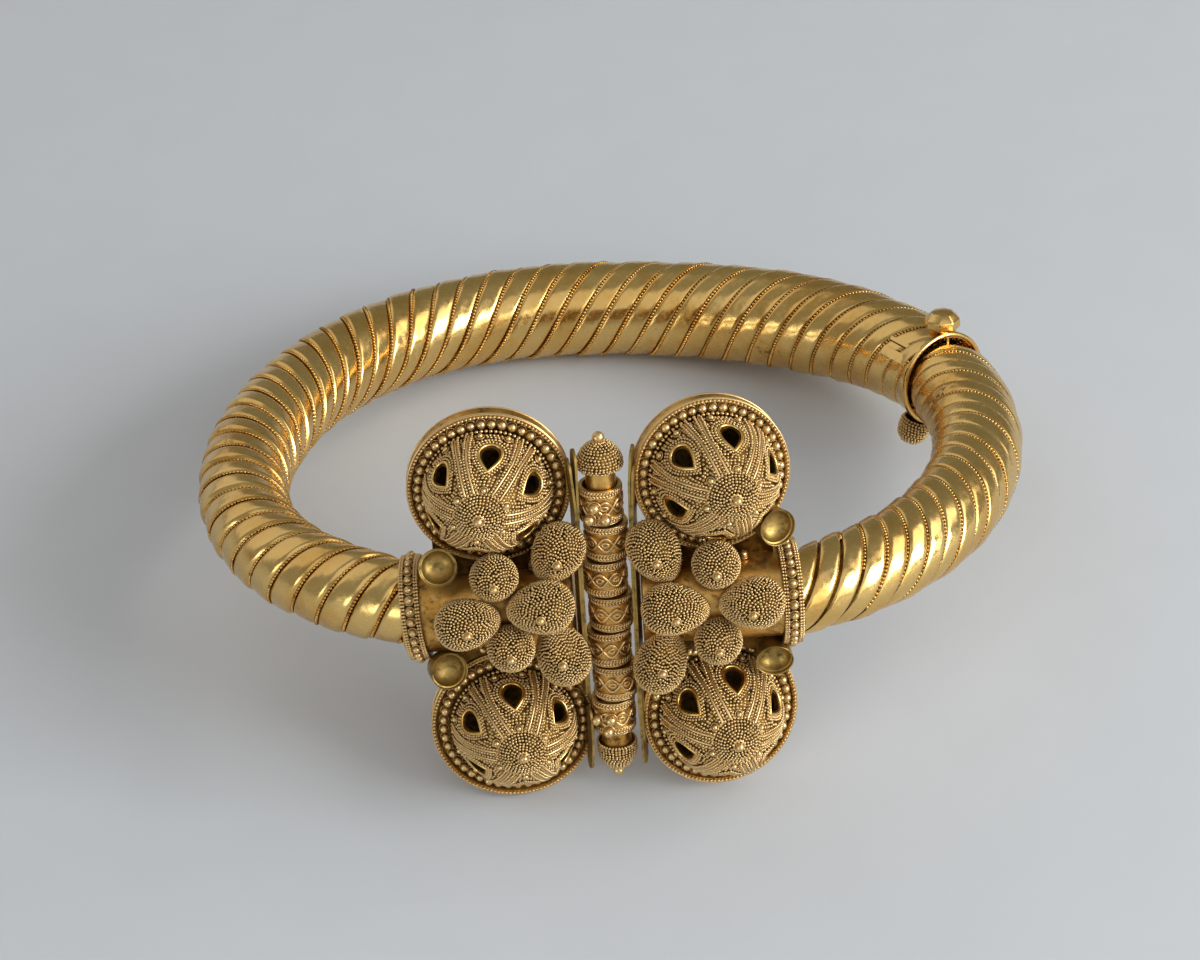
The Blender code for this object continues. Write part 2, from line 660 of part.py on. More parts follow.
def roundel_tab(shop, row, tube_seat):
    """A flat tab at the back of a roundel, seated on the clasp tube."""
    side, _, height = ROUNDELS[row][:3]
    bm = bmesh.new()
    bmesh.ops.create_cube(bm, size=1)
    back = -ROUNDEL_BACK - GAP - TAB_THICKNESS / 2
    place = Matrix.Translation((0, -math.copysign(TAB_BELOW_ROUNDEL, height), back))
    size = Matrix.Diagonal((TAB_WIDTH, TAB_HEIGHT, TAB_THICKNESS, 1))
    bmesh.ops.transform(bm, verts=bm.verts, matrix=place @ size)
    tab_name = f"roundel_tab_{row}"
    tab = shop.add(tab_name, mesh_from(bm, tab_name), clasp_side(side)[1], roundel_placement(row))
    boolean(tab, "DIFFERENCE", tube_seat)
    finish(tab, shop.clasp)


def plate_seat_mesh(side):
    """A block from the outer face of the side plate in to the barrel, so that a boss may lap the plate."""
    outer = PLATE_DISTANCE + PLATE_THICKNESS / 2 + GAP
    bm = bmesh.new()
    bmesh.ops.create_cube(bm, size=1)
    size = Vector((outer, PLATE_DEPTH + 2 * GAP, PLATE_HEIGHT))
    bmesh.ops.transform(
        bm, verts=bm.verts,
        matrix=Matrix.Translation(clasp_point(side, outer / 2, 0, 0)) @ Matrix.Diagonal((*size, 1))
    )
    return mesh_from(bm, "plate_seat")


def seat_cutters(shop, side):
    """What the bosses and collets of one half are seated against, grown by the gap they keep.

    The seat of the clasp tube comes first, and those of the two roundels come last.
    """
    name, arm = clasp_side(side)
    start = clasp_tube_start(side)
    collar_middle, axis = collar_place(side)
    half = axis * (COLLAR_WIDTH / 2 + GAP)
    past_start = start - (collar_middle - start).normalized() * PLATE_DISTANCE / 2
    seats = [
        shop.cutter(f"{name}_tube_seat",
                    cylinder("tube_seat", past_start, collar_middle, CLASP_TUBE_RADIUS + GAP,
                             CLASP_TUBE_SIDES), arm),
        shop.cutter(f"{name}_plate_seat", plate_seat_mesh(side), arm),
        shop.cutter(f"{name}_collar_seat",
                    cylinder("collar_seat", collar_middle - half, collar_middle + half,
                             COLLAR_RADIUS + GAP, COLLAR_SIDES), arm),
    ]
    for row, (roundel_side, *_, radius, across, upward, _) in ROUNDELS.items():
        if roundel_side == side:
            seat = turned("roundel_seat", dome_profile(radius * MM, GAP), ROUNDEL_SIDES)
            lean_dome(seat, across, upward)
            seats.append(shop.cutter(f"{row}_roundel_seat", seat, arm, roundel_placement(row)))
    return seats


def boss_mesh(name, length, width, taper):
    bm = bmesh.new()
    bmesh.ops.create_uvsphere(bm, u_segments=BOSS_SIDES, v_segments=BOSS_RINGS, radius=1)
    for vert in bm.verts:
        narrowing = 1 - taper * vert.co.z
        vert.co.x *= narrowing * width / 2
        vert.co.y *= narrowing * width / 2
        vert.co.z *= length / 2
    return mesh_from(bm, name)


def bosses(shop, side, rows, seats):
    name, arm = clasp_side(side)
    for row, (across, forward, up, length, width, taper, clock) in rows.items():
        turn = math.radians(clock)
        tip = Vector((side * math.sin(turn), 0, math.cos(turn)))
        centre = clasp_point(side, across * MM, forward * MM, up * MM)
        placement = Matrix.Translation(centre) @ direction_matrix(tip, Vector((0, -1, 0)))
        boss_name = f"boss_{name}_{row}"
        mesh = boss_mesh(boss_name, length * MM, width * MM, taper)
        boss = shop.add(boss_name, mesh, arm, placement)
        for seat in seats:
            boolean(boss, "DIFFERENCE", seat)
        finish(boss, shop.granulated)


def collets(shop, side, rows, seats):
    name, arm = clasp_side(side)
    profile = ((0, -COLLET_DEPTH), (COLLET_BORE, -COLLET_DEPTH), (COLLET_BORE, 0), (COLLET_RADIUS, 0),
               (COLLET_RADIUS, -COLLET_LENGTH), (0, -COLLET_LENGTH))
    for row, (across, forward, up, outward, upward) in rows.items():
        collet_name = f"collet_{name}_{row}"
        mesh = turned(collet_name, profile, COLLET_SIDES)
        yaw = math.radians(outward) * side
        pitch = math.radians(upward)
        axis = Vector((math.sin(yaw) * math.cos(pitch), -math.cos(yaw) * math.cos(pitch), math.sin(pitch)))
        mouth = clasp_point(side, across * MM, forward * MM, up * MM)
        collet = shop.add(collet_name, mesh, arm, Matrix.Translation(mouth) @ direction_matrix(axis))
        for seat in seats:
            boolean(collet, "DIFFERENCE", seat)
        finish(collet, shop.clasp)


def knuckle_height(index):
    """Height of the middle of a knuckle, counted from 1 at the top."""
    return ((KNUCKLE_COUNT + 1) / 2 - index) * KNUCKLE_PITCH


def knuckles(shop):
    half = (KNUCKLE_PITCH - KNUCKLE_GAP) / 2
    profile = ((KNUCKLE_RADIUS, half), (KNUCKLE_RADIUS, -half), (KNUCKLE_BORE, -half), (KNUCKLE_BORE, half))
    for index in range(1, KNUCKLE_COUNT + 1):
        side = -1 if index % 2 else 1
        arm = clasp_side(side)[1]
        name = f"knuckle_{index}"
        mesh = turned(name, profile, KNUCKLE_SIDES, closed=True)
        centre = clasp_point(side, KNUCKLE_OFFSET, 0, knuckle_height(index))
        knuckle = shop.add(name, mesh, arm, Matrix.Translation(centre))
        finish(knuckle, shop.granulated)


def clasp_pin(shop):
    """The pin's two visible ends. Its shaft between them is left out, so that the clasp can open."""
    top = knuckle_height(1) + (KNUCKLE_PITCH - KNUCKLE_GAP) / 2
    head = ((0, 6.4), (0.55, 6.1), (0.65, 5.6), (1.7, 5.0), (2.5, 3.6), (2.7, 2.5), (2.5, 2.25))
    profile = [(radius * MM, top + height * MM) for radius, height in head]
    profile += [(PIN_NECK_RADIUS, top + 2.25 * MM), (PIN_NECK_RADIUS, top - PIN_NECK_DEPTH),
                (0, top - PIN_NECK_DEPTH)]
    place = Matrix.Translation(clasp_point(-1, PIN_OFFSET, 0, 0))
    finish(shop.add("clasp_pin_head", turned("clasp_pin_head", profile, COLLET_SIDES), "long", place),
           shop.granulated)

    bottom = knuckle_height(KNUCKLE_COUNT) - (KNUCKLE_PITCH - KNUCKLE_GAP) / 2
    foot = ((2.35, -1.9), (2.35, -3.2), (2.05, -4.3), (1.6, -5.05), (0.95, -5.7), (0.7, -6.0),
            (0.7, -6.6), (0, -7.05))
    profile = [(0, bottom + PIN_NECK_DEPTH), (PIN_NECK_RADIUS, bottom + PIN_NECK_DEPTH),
               (PIN_NECK_RADIUS, bottom - 1.85 * MM)]
    profile += [(radius * MM, bottom + height * MM) for radius, height in foot]
    finish(shop.add("clasp_pin_foot", turned("clasp_pin_foot", profile, COLLET_SIDES), "long", place),
           shop.granulated)


def lie_down(shop):
    """Tilt the armlet as it lies loose, then stand its box on z = 0 with its middle over the origin.

    The lower roundels' backs reach down in front and the round shank at the back, so the tilt is that
    of the steepest line from the lowest edge of a roundel's back that touches the shank's circle.
    """
    back_y = oval_point(math.pi / 2).y
    back_radius = radius_at(LONG_ARM_RADII, math.pi / 2)
    tilt = 0
    for row, (*_, radius, _, _, _) in ROUNDELS.items():
        placement = roundel_placement(row)
        down = placement.to_3x3().transposed() @ Vector((0, 0, -1))
        edge = placement @ (down.xy.normalized().to_3d() * radius * MM - Vector((0, 0, ROUNDEL_BACK)))
        distance = math.hypot(back_y - edge.y, edge.z)
        tilt = max(tilt, math.atan2(-edge.z, back_y - edge.y) - math.asin(back_radius / distance))
    shop.rest.rotation_euler = (-tilt, 0, 0)
    bpy.context.view_layer.update()
    graph = bpy.context.evaluated_depsgraph_get()
    corners = []
    for obj in shop.armlet.objects:
        if obj.type == "MESH":
            evaluated = obj.evaluated_get(graph)
            corners += [evaluated.matrix_world @ vert.co for vert in evaluated.data.vertices]
    low = Vector(min(corner[axis] for corner in corners) for axis in range(3))
    high = Vector(max(corner[axis] for corner in corners) for axis in range(3))
    middle = (low + high) / 2
    shop.rest.location = (-middle.x, -middle.y, -low.z)


def main():
    clear_scene()
    shop = Workshop()
    long_shank(shop)
    short_shank(shop)
    hinge_pin(shop)
    for side, boss_rows, collet_rows in ((-1, LEFT_BOSSES, LEFT_COLLETS), (1, RIGHT_BOSSES, RIGHT_COLLETS)):
        clasp_tube(shop, side)
        collar(shop, side)
        seats = seat_cutters(shop, side)
        side_plate(shop, side, seats[-2:])
        for row, roundel in ROUNDELS.items():
            if roundel[0] == side:
                roundel_tab(shop, row, seats[0])
        bosses(shop, side, boss_rows, seats)
        collets(shop, side, collet_rows, seats)
    roundels(shop)
    knuckles(shop)
    clasp_pin(shop)
    lie_down(shop)


main()
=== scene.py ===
"""Dresses the armlet's solids: ribs with beaded seams, granules, openwork domes and worn gold.

Lengths are metres. Most pieces are laid out in the ring's own frame, with its origin at the middle of
the oval shank, +Y to the back and +Z square to the oval, and are then moved to where the armlet lies.
"""

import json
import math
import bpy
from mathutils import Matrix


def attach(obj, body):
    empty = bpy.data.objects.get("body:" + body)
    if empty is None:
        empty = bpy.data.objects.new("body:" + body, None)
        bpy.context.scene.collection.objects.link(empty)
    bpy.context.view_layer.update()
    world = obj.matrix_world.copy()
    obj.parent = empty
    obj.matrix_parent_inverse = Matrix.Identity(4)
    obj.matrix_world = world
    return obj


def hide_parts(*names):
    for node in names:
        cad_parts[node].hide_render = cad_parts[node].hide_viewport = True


bl_info = {
    "name": "Twisted Gold Armlet",
    "version": (1, 0, 0),
    "blender": (4, 5, 0),
    "location": "3D View > Sidebar > Armlet",
    "description": "Models the ribs, granules, wires and gold finishes of a hinged armlet",
    "category": "Object",
}

import bmesh
import bpy
import numpy as np
from bpy.props import FloatProperty, FloatVectorProperty, IntProperty, PointerProperty
from mathutils import Matrix, Vector

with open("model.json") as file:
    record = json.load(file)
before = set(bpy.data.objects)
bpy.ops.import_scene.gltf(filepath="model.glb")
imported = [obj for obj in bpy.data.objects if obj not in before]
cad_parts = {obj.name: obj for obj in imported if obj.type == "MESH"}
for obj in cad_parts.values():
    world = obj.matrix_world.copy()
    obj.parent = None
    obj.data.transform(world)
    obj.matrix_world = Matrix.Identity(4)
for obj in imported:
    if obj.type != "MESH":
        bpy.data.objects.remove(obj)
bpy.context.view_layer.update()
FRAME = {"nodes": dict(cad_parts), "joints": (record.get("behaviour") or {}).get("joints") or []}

MM = 0.001
TURN = 2 * math.pi
# Rows of granules that nest into each other are this share of the granules' pitch apart.
NESTED = 0.87

# The shank's path and thickness, as the solids have them: angle in degrees, outer radius in millimetres.
SHORT_ARM_RADII = ((-65, 5.0), (-48, 5.25), (-26, 5.45), (0, 5.6), (9, 5.75), (13, 5.7), (16, 5.35),
                   (19, 4.65))
LONG_ARM_RADII = ((17, 6.4), (21, 6.05), (30, 6.25), (51, 6.7), (90, 6.45), (129, 6.1), (167, 5.95),
                  (206, 5.35), (224, 5.2), (240, 4.85))
MOUTH_ANGLE = math.radians(17.9)
MOUTH_SLANT = math.radians(11)
SHORT_END_ANGLE = math.radians(18.9)
HINGE_ANGLE = math.radians(19.6)
SOCKET_DEPTH = 6.5 * MM
SOCKET_RIM_RADIUS = 6.2 * MM
# Each arm's sheet is made longer by these angles at its two ends, in radians, and then cut off.
HINGE_SPARE = 0.08
COLLAR_SPARE = 0.06

# The clasp, in the ring's frame: the barrel's middle, and each collar's middle and axis.
BARREL = np.array((-1.2, -41.4, 0)) * MM
COLLARS = {
    "left": (np.array((-23.95, -38.3, -0.2)) * MM, np.array((1, -0.05, 0.07)) / 1.0037),
    "right": (np.array((19.95, -40.5, 0.15)) * MM, np.array((1, 0.05, 0)) / 1.0012),
}
# From knuckle to knuckle, from the barrel's middle to its end, and from a collar's middle to the shank's
# end, in millimetres.
KNUCKLE_PITCH = 4.71
BARREL_END = 16.28
COLLAR_REACH = 1.25
BODY = {"left": "long_arm", "right": "short_arm"}
SIDE = {"left": -1, "right": 1}

# Each boss: to the side, forward and up from the barrel, length and width in millimetres, taper, and the
# degrees by which its tip is turned outward from straight up.
BOSSES = {
    "right": {
        "upper_pear": (5.75, 2.6, 8.2, 7.9, 5.7, 0.18, 155),
        "upper_ball": (12.6, 4.1, 6.9, 5.4, 5.4, 0.0, 0),
        "inner_egg": (7.65, 5.8, 2.3, 7.7, 5.7, 0.22, 95),
        "outer_egg": (16.5, 5.8, 2.5, 7.4, 5.7, 0.20, -90),
        "lower_ball": (12.45, 5.4, -2.5, 5.3, 5.3, 0.0, 0),
        "lower_pear": (5.75, 3.9, -5.6, 7.9, 5.7, 0.18, 20),
    },
    "left": {
        "upper_pear": (5.65, 2.6, 8.85, 7.4, 5.7, 0.18, 150),
        "upper_ball": (13.05, 4.1, 7.0, 5.2, 5.4, 0.0, 0),
        "inner_egg": (7.9, 5.8, 3.6, 7.7, 5.9, 0.20, 95),
        "outer_egg": (16.4, 5.8, 2.1, 7.5, 5.6, 0.20, -80),
        "lower_ball": (11.65, 5.6, -1.65, 5.3, 5.3, 0.0, 0),
        "lower_pear": (5.75, 4.1, -3.55, 7.9, 5.8, 0.2, 15),
    },
}
# Each collet: its mouth to the side, forward and up in millimetres, and the degrees by which that is
# turned outward and upward.
COLLETS = {
    "right": {"upper": (20.0, 2.6, 10.4, 24, 6), "lower": (19.1, 2.2, -7.5, 0, -12)},
    "left": {"upper": (19.4, 4.0, 8.7, 0, 26), "lower": (19.2, 2.4, -6.1, -20, 14)},
}
# Each roundel: its half, to the side and up in millimetres, the degrees its face turns outward and
# upward, its radius, how far its apex leans to the right and up, and the degrees its openings turn.
ROUNDELS = {
    "upper_left": ("left", 13.0, 16.3, -1.1, 0.0, 9.4, -1.3, 0.0, 19),
    "upper_right": ("right", 12.75, 16.3, 8.4, 7.4, 9.1, 1.2, -0.65, 18),
    "lower_left": ("left", 12.3, -15.5, -1.3, 2.0, 9.7, 1.0, -0.2, 33),
    "lower_right": ("right", 12.5, -15.3, 11.2, 9.0, 9.4, 0.1, -1.7, 20),
}
APEX_HEIGHT = 8.75 * MM


# Geometry of the ring's frame.


def oval_point(angle):
    angle = np.asarray(angle, float)
    radius = (
        45.8
        + 1.6 * np.cos(2 * angle) - 0.5 * np.sin(2 * angle)
        + 0.3 * np.cos(3 * angle) - 0.4 * np.sin(3 * angle)
        - 0.5 * np.cos(4 * angle) + 0.6 * np.sin(4 * angle)
    ) * MM
    return np.stack([radius * np.cos(angle), radius * np.sin(angle), 0 * angle], -1)


def unit(vectors):
    vectors = np.asarray(vectors, float)
    return vectors / np.linalg.norm(vectors, axis=-1, keepdims=True)


def oval_forward(angle):
    return unit(oval_point(np.asarray(angle) + 0.009) - oval_point(np.asarray(angle) - 0.009))


def oval_outward(angle):
    forward = oval_forward(angle)
    return np.stack([forward[..., 1], -forward[..., 0], 0 * forward[..., 0]], -1)


def shank_radius(stations, angle):
    degrees = np.degrees(angle)
    places = np.array([place for place, _ in stations], float)
    radii = np.array([radius for _, radius in stations], float)
    index = np.clip(np.searchsorted(places, degrees) - 1, 0, len(places) - 2)
    share = np.clip((degrees - places[index]) / (places[index + 1] - places[index]), 0, 1)
    eased = share * share * (3 - 2 * share)
    return (radii[index] + (radii[index + 1] - radii[index]) * eased) * MM


def hinge_position():
    return oval_point(HINGE_ANGLE) + oval_outward(HINGE_ANGLE) * 1.3 * MM


def resting_matrix():
    """Where the ring's frame lies in the world, read from the hinge of the solids."""
    joint = FRAME["joints"][0]
    up = Vector(joint["axis"]).normalized()
    right = Vector((1, 0, 0))
    back = up.cross(right).normalized()
    turn = Matrix((right, back, up)).transposed()
    place = Vector(joint["pos_m"]) - turn @ Vector(hinge_position())
    return Matrix.Translation(place) @ turn.to_4x4()


REST = resting_matrix()


def facing(axis, place, up=(0, 0, 1)):
    """Matrix that turns +Z to the axis, keeps +Y as near to up as it can, and moves to the place."""
    z_axis = Vector(axis).normalized()
    x_axis = Vector(up).cross(z_axis).normalized()
    turn = Matrix((x_axis, z_axis.cross(x_axis), z_axis)).transposed().to_4x4()
    return Matrix.Translation(Vector(place)) @ turn


def moved(matrix, points):
    table = np.array(matrix)
    return np.asarray(points) @ table[:3, :3].T + table[:3, 3]


def clasp_point(side, across, forward, up):
    return BARREL + np.array((SIDE[side] * across, -forward, up))


def mouth_axis(side, outward, upward):
    """Direction of a face on one half, turned outward and upward from straight ahead, in degrees."""
    yaw, pitch = math.radians(outward) * SIDE[side], math.radians(upward)
    return math.sin(yaw) * math.cos(pitch), -math.cos(yaw) * math.cos(pitch), math.sin(pitch)


# Modelling tools.


def deselect():
    if bpy.context.mode != "OBJECT":
        bpy.ops.object.mode_set(mode="OBJECT")
    bpy.ops.object.select_all(action="DESELECT")


def activate(obj):
    deselect()
    obj.select_set(True)
    bpy.context.view_layer.objects.active = obj


def primitive(add, **settings):
    """Add a primitive at the origin, with nothing else selected."""
    deselect()
    add(location=(0, 0, 0), **settings)
    return bpy.context.object


def edit_all():
    bpy.ops.object.mode_set(mode="EDIT")
    bpy.ops.mesh.select_all(action="SELECT")


def round_off_mesh(smooth=60):
    """Turn the edited mesh's faces outward, leave edit mode and smooth edges under so many degrees."""
    bpy.ops.mesh.select_all(action="SELECT")
    bpy.ops.mesh.normals_make_consistent(inside=False)
    bpy.ops.object.mode_set(mode="OBJECT")
    bpy.ops.object.shade_smooth_by_angle(angle=math.radians(smooth))


def points_of(obj):
    return np.array([vert.co for vert in obj.data.vertices])


def set_points(obj, points):
    obj.data.vertices.foreach_set("co", np.asarray(points).ravel())


def faces_of(obj):
    """The corners of each face, where all the faces have as many."""
    return np.array([face.vertices[:] for face in obj.data.polygons])


def take_geometry(obj):
    """The points and faces of a modelled object, which is then removed."""
    geometry = points_of(obj), faces_of(obj)
    bpy.data.objects.remove(obj)
    return geometry


def model_granule(subdivisions):
    """One granule, rounded from an icosahedron."""
    add = bpy.ops.mesh.primitive_ico_sphere_add
    return take_geometry(primitive(add, subdivisions=subdivisions, radius=1))


def model_ring(wire_share, around, sides):
    """One small ring of wire of radius 1, that a large granule sits in."""
    return take_geometry(primitive(bpy.ops.mesh.primitive_torus_add, major_radius=1, minor_radius=wire_share,
                                   major_segments=around, minor_segments=sides))


def strew(model, points, sizes, directions=None):
    """Copy a modelled shape to each point at its size, and lay its +Z along each direction if given."""
    shape, faces = model
    points = np.asarray(points, float).reshape(-1, 3)
    sizes = np.broadcast_to(np.asarray(sizes, float), len(points))
    copies = np.broadcast_to(shape, (len(points), *shape.shape))
    if directions is not None:
        z_axis = unit(directions)
        helper = np.where(np.abs(z_axis[:, 2:3]) < 0.9, (0.0, 0.0, 1.0), (1.0, 0.0, 0.0))
        x_axis = unit(np.cross(helper, z_axis))
        y_axis = np.cross(z_axis, x_axis)
        turns = np.stack([x_axis, y_axis, z_axis], 1)
        copies = np.einsum("vi,nij->nvj", shape, turns)
    verts = points[:, None, :] + copies * sizes[:, None, None]
    offsets = np.arange(len(points)) * len(shape)
    return verts.reshape(-1, 3), (faces[None] + offsets[:, None, None]).reshape(-1, faces.shape[1])


def object_from(name, geometry, material, matrix=None):
    """One smooth object out of several lists of points and faces."""
    points, faces, offset = [], [], 0
    for some_points, some_faces in geometry:
        points.append(some_points)
        faces += (some_faces + offset).tolist()
        offset += len(some_points)
    mesh = bpy.data.meshes.new(name)
    mesh.from_pydata(np.concatenate(points).tolist(), [], faces, shade_flat=False)
    mesh.materials.append(material)
    if matrix is not None:
        mesh.transform(matrix)
    obj = bpy.data.objects.new(name, mesh)
    bpy.context.scene.collection.objects.link(obj)
    return obj


def joined(name, objects):
    activate(objects[0])
    for obj in objects[1:]:
        obj.select_set(True)
    if len(objects) > 1:
        bpy.ops.object.join()
    obj = bpy.context.object
    obj.name = obj.data.name = name
    return obj


def copied(obj, name, matrix):
    other = obj.copy()
    other.data = obj.data.copy()
    other.name = other.data.name = name
    other.data.transform(matrix)
    bpy.context.scene.collection.objects.link(other)
    return other


def turned(name, rings, sides, material, close_start=True, close_end=True, smooth=40):
    """A turned form: a circle, extruded and scaled ring by ring along +Z, as on a lathe."""
    first_radius, first_height = rings[0]
    obj = primitive(bpy.ops.mesh.primitive_circle_add, vertices=sides, radius=first_radius * MM,
                    fill_type="NOTHING")
    obj.data.transform(Matrix.Translation((0, 0, first_height * MM)))
    bpy.ops.object.mode_set(mode="EDIT")
    bpy.ops.mesh.select_mode(type="VERT")
    bpy.ops.mesh.select_all(action="SELECT")
    for (radius, height), (next_radius, next_height) in zip(rings, rings[1:]):
        rise = (0, 0, (next_height - height) * MM)
        bpy.ops.mesh.extrude_region_move(TRANSFORM_OT_translate={"value": rise})
        scale = next_radius / radius
        bpy.ops.transform.resize(value=(scale, scale, 1), center_override=(0, 0, next_height * MM))
    if close_end:
        bpy.ops.mesh.edge_face_add()
    if close_start:
        bpy.ops.mesh.select_all(action="DESELECT")
        bm = bmesh.from_edit_mesh(obj.data)
        bm.verts.ensure_lookup_table()
        for index in range(sides):
            bm.verts[index].select_set(True)
        bm.select_flush(True)
        bmesh.update_edit_mesh(obj.data)
        bpy.ops.mesh.edge_face_add()
    round_off_mesh(smooth)
    obj.name = obj.data.name = name
    obj.data.materials.append(material)
    return obj


def thickened(obj, thickness, offset):
    """Give a sheet a wall: inward at offset -1, to both sides at 0."""
    wall = obj.modifiers.new("wall", "SOLIDIFY")
    wall.thickness = thickness
    wall.offset = offset
    activate(obj)
    bpy.ops.object.modifier_apply(modifier=wall.name)


def sheet(name, columns, rows, lay_out, thickness, offset, material):
    """A flat grid, laid out by a function of how far along and across it each point lies."""
    obj = primitive(bpy.ops.mesh.primitive_grid_add, x_subdivisions=columns, y_subdivisions=rows, size=1)
    flat = points_of(obj) + 0.5
    set_points(obj, lay_out(flat[:, 0], flat[:, 1]))
    thickened(obj, thickness, offset)
    bpy.ops.object.shade_smooth_by_angle(angle=math.radians(50))
    obj.data.materials.append(material)
    obj.name = name
    return obj


def wires(name, paths, radius, material, resolution=1, closed=False, matrix=None):
    """Plain round wires along paths: one curve object with a bevel, made a mesh."""
    deselect()
    curve = bpy.data.curves.new(name, "CURVE")
    curve.dimensions = "3D"
    curve.bevel_depth = radius
    curve.bevel_resolution = resolution
    curve.use_fill_caps = not closed
    for path in paths:
        spline = curve.splines.new("POLY")
        spline.points.add(len(path) - 1)
        spline.points.foreach_set("co", np.c_[np.asarray(path), np.ones(len(path))].ravel())
        spline.use_cyclic_u = closed
    curve.materials.append(material)
    obj = bpy.data.objects.new(name, curve)
    bpy.context.scene.collection.objects.link(obj)
    activate(obj)
    bpy.ops.object.convert(target="MESH")
    obj = bpy.context.object
    obj.data.shade_smooth()
    if matrix is not None:
        obj.data.transform(matrix)
    return obj


def paced(path, pitch, closed=False):
    """Points at an even pitch along a path."""
    path = np.asarray(path, float)
    if closed:
        path = np.concatenate([path, path[:1]])
    travel = np.concatenate([[0], np.cumsum(np.linalg.norm(np.diff(path, axis=0), axis=1))])
    count = max(2, round(travel[-1] / pitch) + (0 if closed else 1))
    places = np.linspace(0, travel[-1], count, endpoint=not closed)
    return np.stack([np.interp(places, travel, path[:, axis]) for axis in range(3)], 1)


def circle(radius, height, count=96, start=0.0):
    angles = start + TURN * np.arange(count) / count
    return np.stack([radius * np.cos(angles), radius * np.sin(angles), np.full(count, height)], 1)


def settled(obj, body, slot, *nodes):
    """Hang a finished piece on its body in place of the solids it stands for, and hide those. Its slot is not
    used.
    """
    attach(obj, body)
    if nodes:
        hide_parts(*nodes)
    return obj


# Materials.


def linear(hex_colour):
    """An sRGB hex colour as linear red, green and blue."""
    channels = [int(hex_colour[start:start + 2], 16) / 255 for start in (1, 3, 5)]
    return tuple(c / 12.92 if c <= 0.04045 else ((c + 0.055) / 1.055) ** 2.4 for c in channels)


def add_node(tree, kind, settings=None, values=None, links=None):
    """Add a node, set its properties and socket values, and link sockets to other nodes' outputs."""
    node = tree.nodes.new(kind)
    for key, value in (settings or {}).items():
        setattr(node, key, value)
    for key, value in (values or {}).items():
        node.inputs[key].default_value = value
    for key, output in (links or {}).items():
        tree.links.new(output, node.inputs[key])
    return node


def ramp_between(tree, factor, low, high):
    """Stretch a noise so that it goes from 0 at low to 1 at high."""
    return add_node(tree, "ShaderNodeMapRange", {"interpolation_type": "SMOOTHSTEP"},
                    {"From Min": low, "From Max": high}, {"Value": factor}).outputs["Result"]


def mixed(tree, factor, first, second):
    """Mix two colours, each a value or an output."""
    node = add_node(tree, "ShaderNodeMix", {"data_type": "RGBA"}, links={"Factor": factor})
    for socket, colour in ((node.inputs[6], first), (node.inputs[7], second)):
        if isinstance(colour, bpy.types.NodeSocket):
            tree.links.new(colour, socket)
        else:
            socket.default_value = (*colour, 1)
    return node.outputs[2]


def noise(tree, place, size, detail, roughness=0.55):
    """Noise with features of about the given size in metres."""
    return add_node(tree, "ShaderNodeTexNoise",
                    values={"Scale": 1 / size, "Detail": detail, "Roughness": roughness},
                    links={"Vector": place}).outputs["Fac"]


def new_material(name):
    """A new material, its nodes, its shader, and the object coordinates that its noises read."""
    material = bpy.data.materials.new(name)
    material.use_nodes = True
    tree = material.node_tree
    place = add_node(tree, "ShaderNodeTexCoord").outputs["Object"]
    return material, tree, tree.nodes["Principled BSDF"], place


def darker(colour, share):
    return tuple(share * c for c in colour)


def gold(name, bright, warm, soil, *, roughness, patches, soiling, dent, deposit=None):
    """High-carat gold: warm patches, soil caught in patches, soft dents and fine handling marks.

    Patches and dent are the patches' size and the dents' depth in metres, and soiling goes from 0 to
    about 1. Deposit is a pale grey burial crust, in few places.
    """
    material, tree, shader, place = new_material(name)
    patina = noise(tree, place, patches, 4.0, 0.6)
    specks = noise(tree, place, 0.7 * MM, 3.0, 0.65)
    colour = mixed(tree, ramp_between(tree, patina, 0.42, 0.62), bright, warm)
    soiled = add_node(tree, "ShaderNodeMath", {"operation": "MULTIPLY"},
                      links={0: ramp_between(tree, specks, 0.46, 0.66),
                             1: ramp_between(tree, patina, 0.62 - soiling * 0.3, 0.75)}).outputs[0]
    colour = mixed(tree, soiled, colour, soil)
    # Where soil or crust lies on it, the metal no longer mirrors.
    metal = add_node(tree, "ShaderNodeMapRange", values={"To Min": 1.0, "To Max": 0.35},
                     links={"Value": soiled}).outputs["Result"]
    if deposit:
        crust = ramp_between(tree, noise(tree, place, 3.2 * MM, 5.0), 0.6, 0.7)
        colour = mixed(tree, crust, colour, deposit)
        metal = add_node(tree, "ShaderNodeMath", {"operation": "SUBTRACT", "use_clamp": True},
                         links={0: metal, 1: crust}).outputs[0]
    tree.links.new(metal, shader.inputs["Metallic"])
    tree.links.new(colour, shader.inputs["Base Color"])
    rough = add_node(tree, "ShaderNodeMapRange",
                     values={"From Min": 0.3, "From Max": 0.7, "To Min": roughness - 0.05,
                             "To Max": roughness + 0.12},
                     links={"Value": specks}).outputs["Result"]
    tree.links.new(rough, shader.inputs["Roughness"])
    bump = add_node(tree, "ShaderNodeBump", values={"Strength": 0.9, "Distance": dent},
                    links={"Height": noise(tree, place, 3.4 * MM, 2.0, 0.45)})
    marks = add_node(tree, "ShaderNodeBump", values={"Strength": 0.4, "Distance": 0.02 * MM},
                     links={"Height": specks, "Normal": bump.outputs["Normal"]})
    tree.links.new(marks.outputs["Normal"], shader.inputs["Normal"])
    return material


def floor_paper():
    """Matt studio paper: pale grey with the faintest fibre."""
    material, tree, shader, place = new_material("studio_paper")
    fibre = noise(tree, place, 1 / 90, 5.0, 0.5)
    paper = tuple(bpy.context.scene.armlet_colours.paper)
    colour = mixed(tree, ramp_between(tree, fibre, 0.3, 0.7), paper, darker(paper, 0.985))
    tree.links.new(colour, shader.inputs["Base Color"])
    shader.inputs["Roughness"].default_value = 0.75
    return material


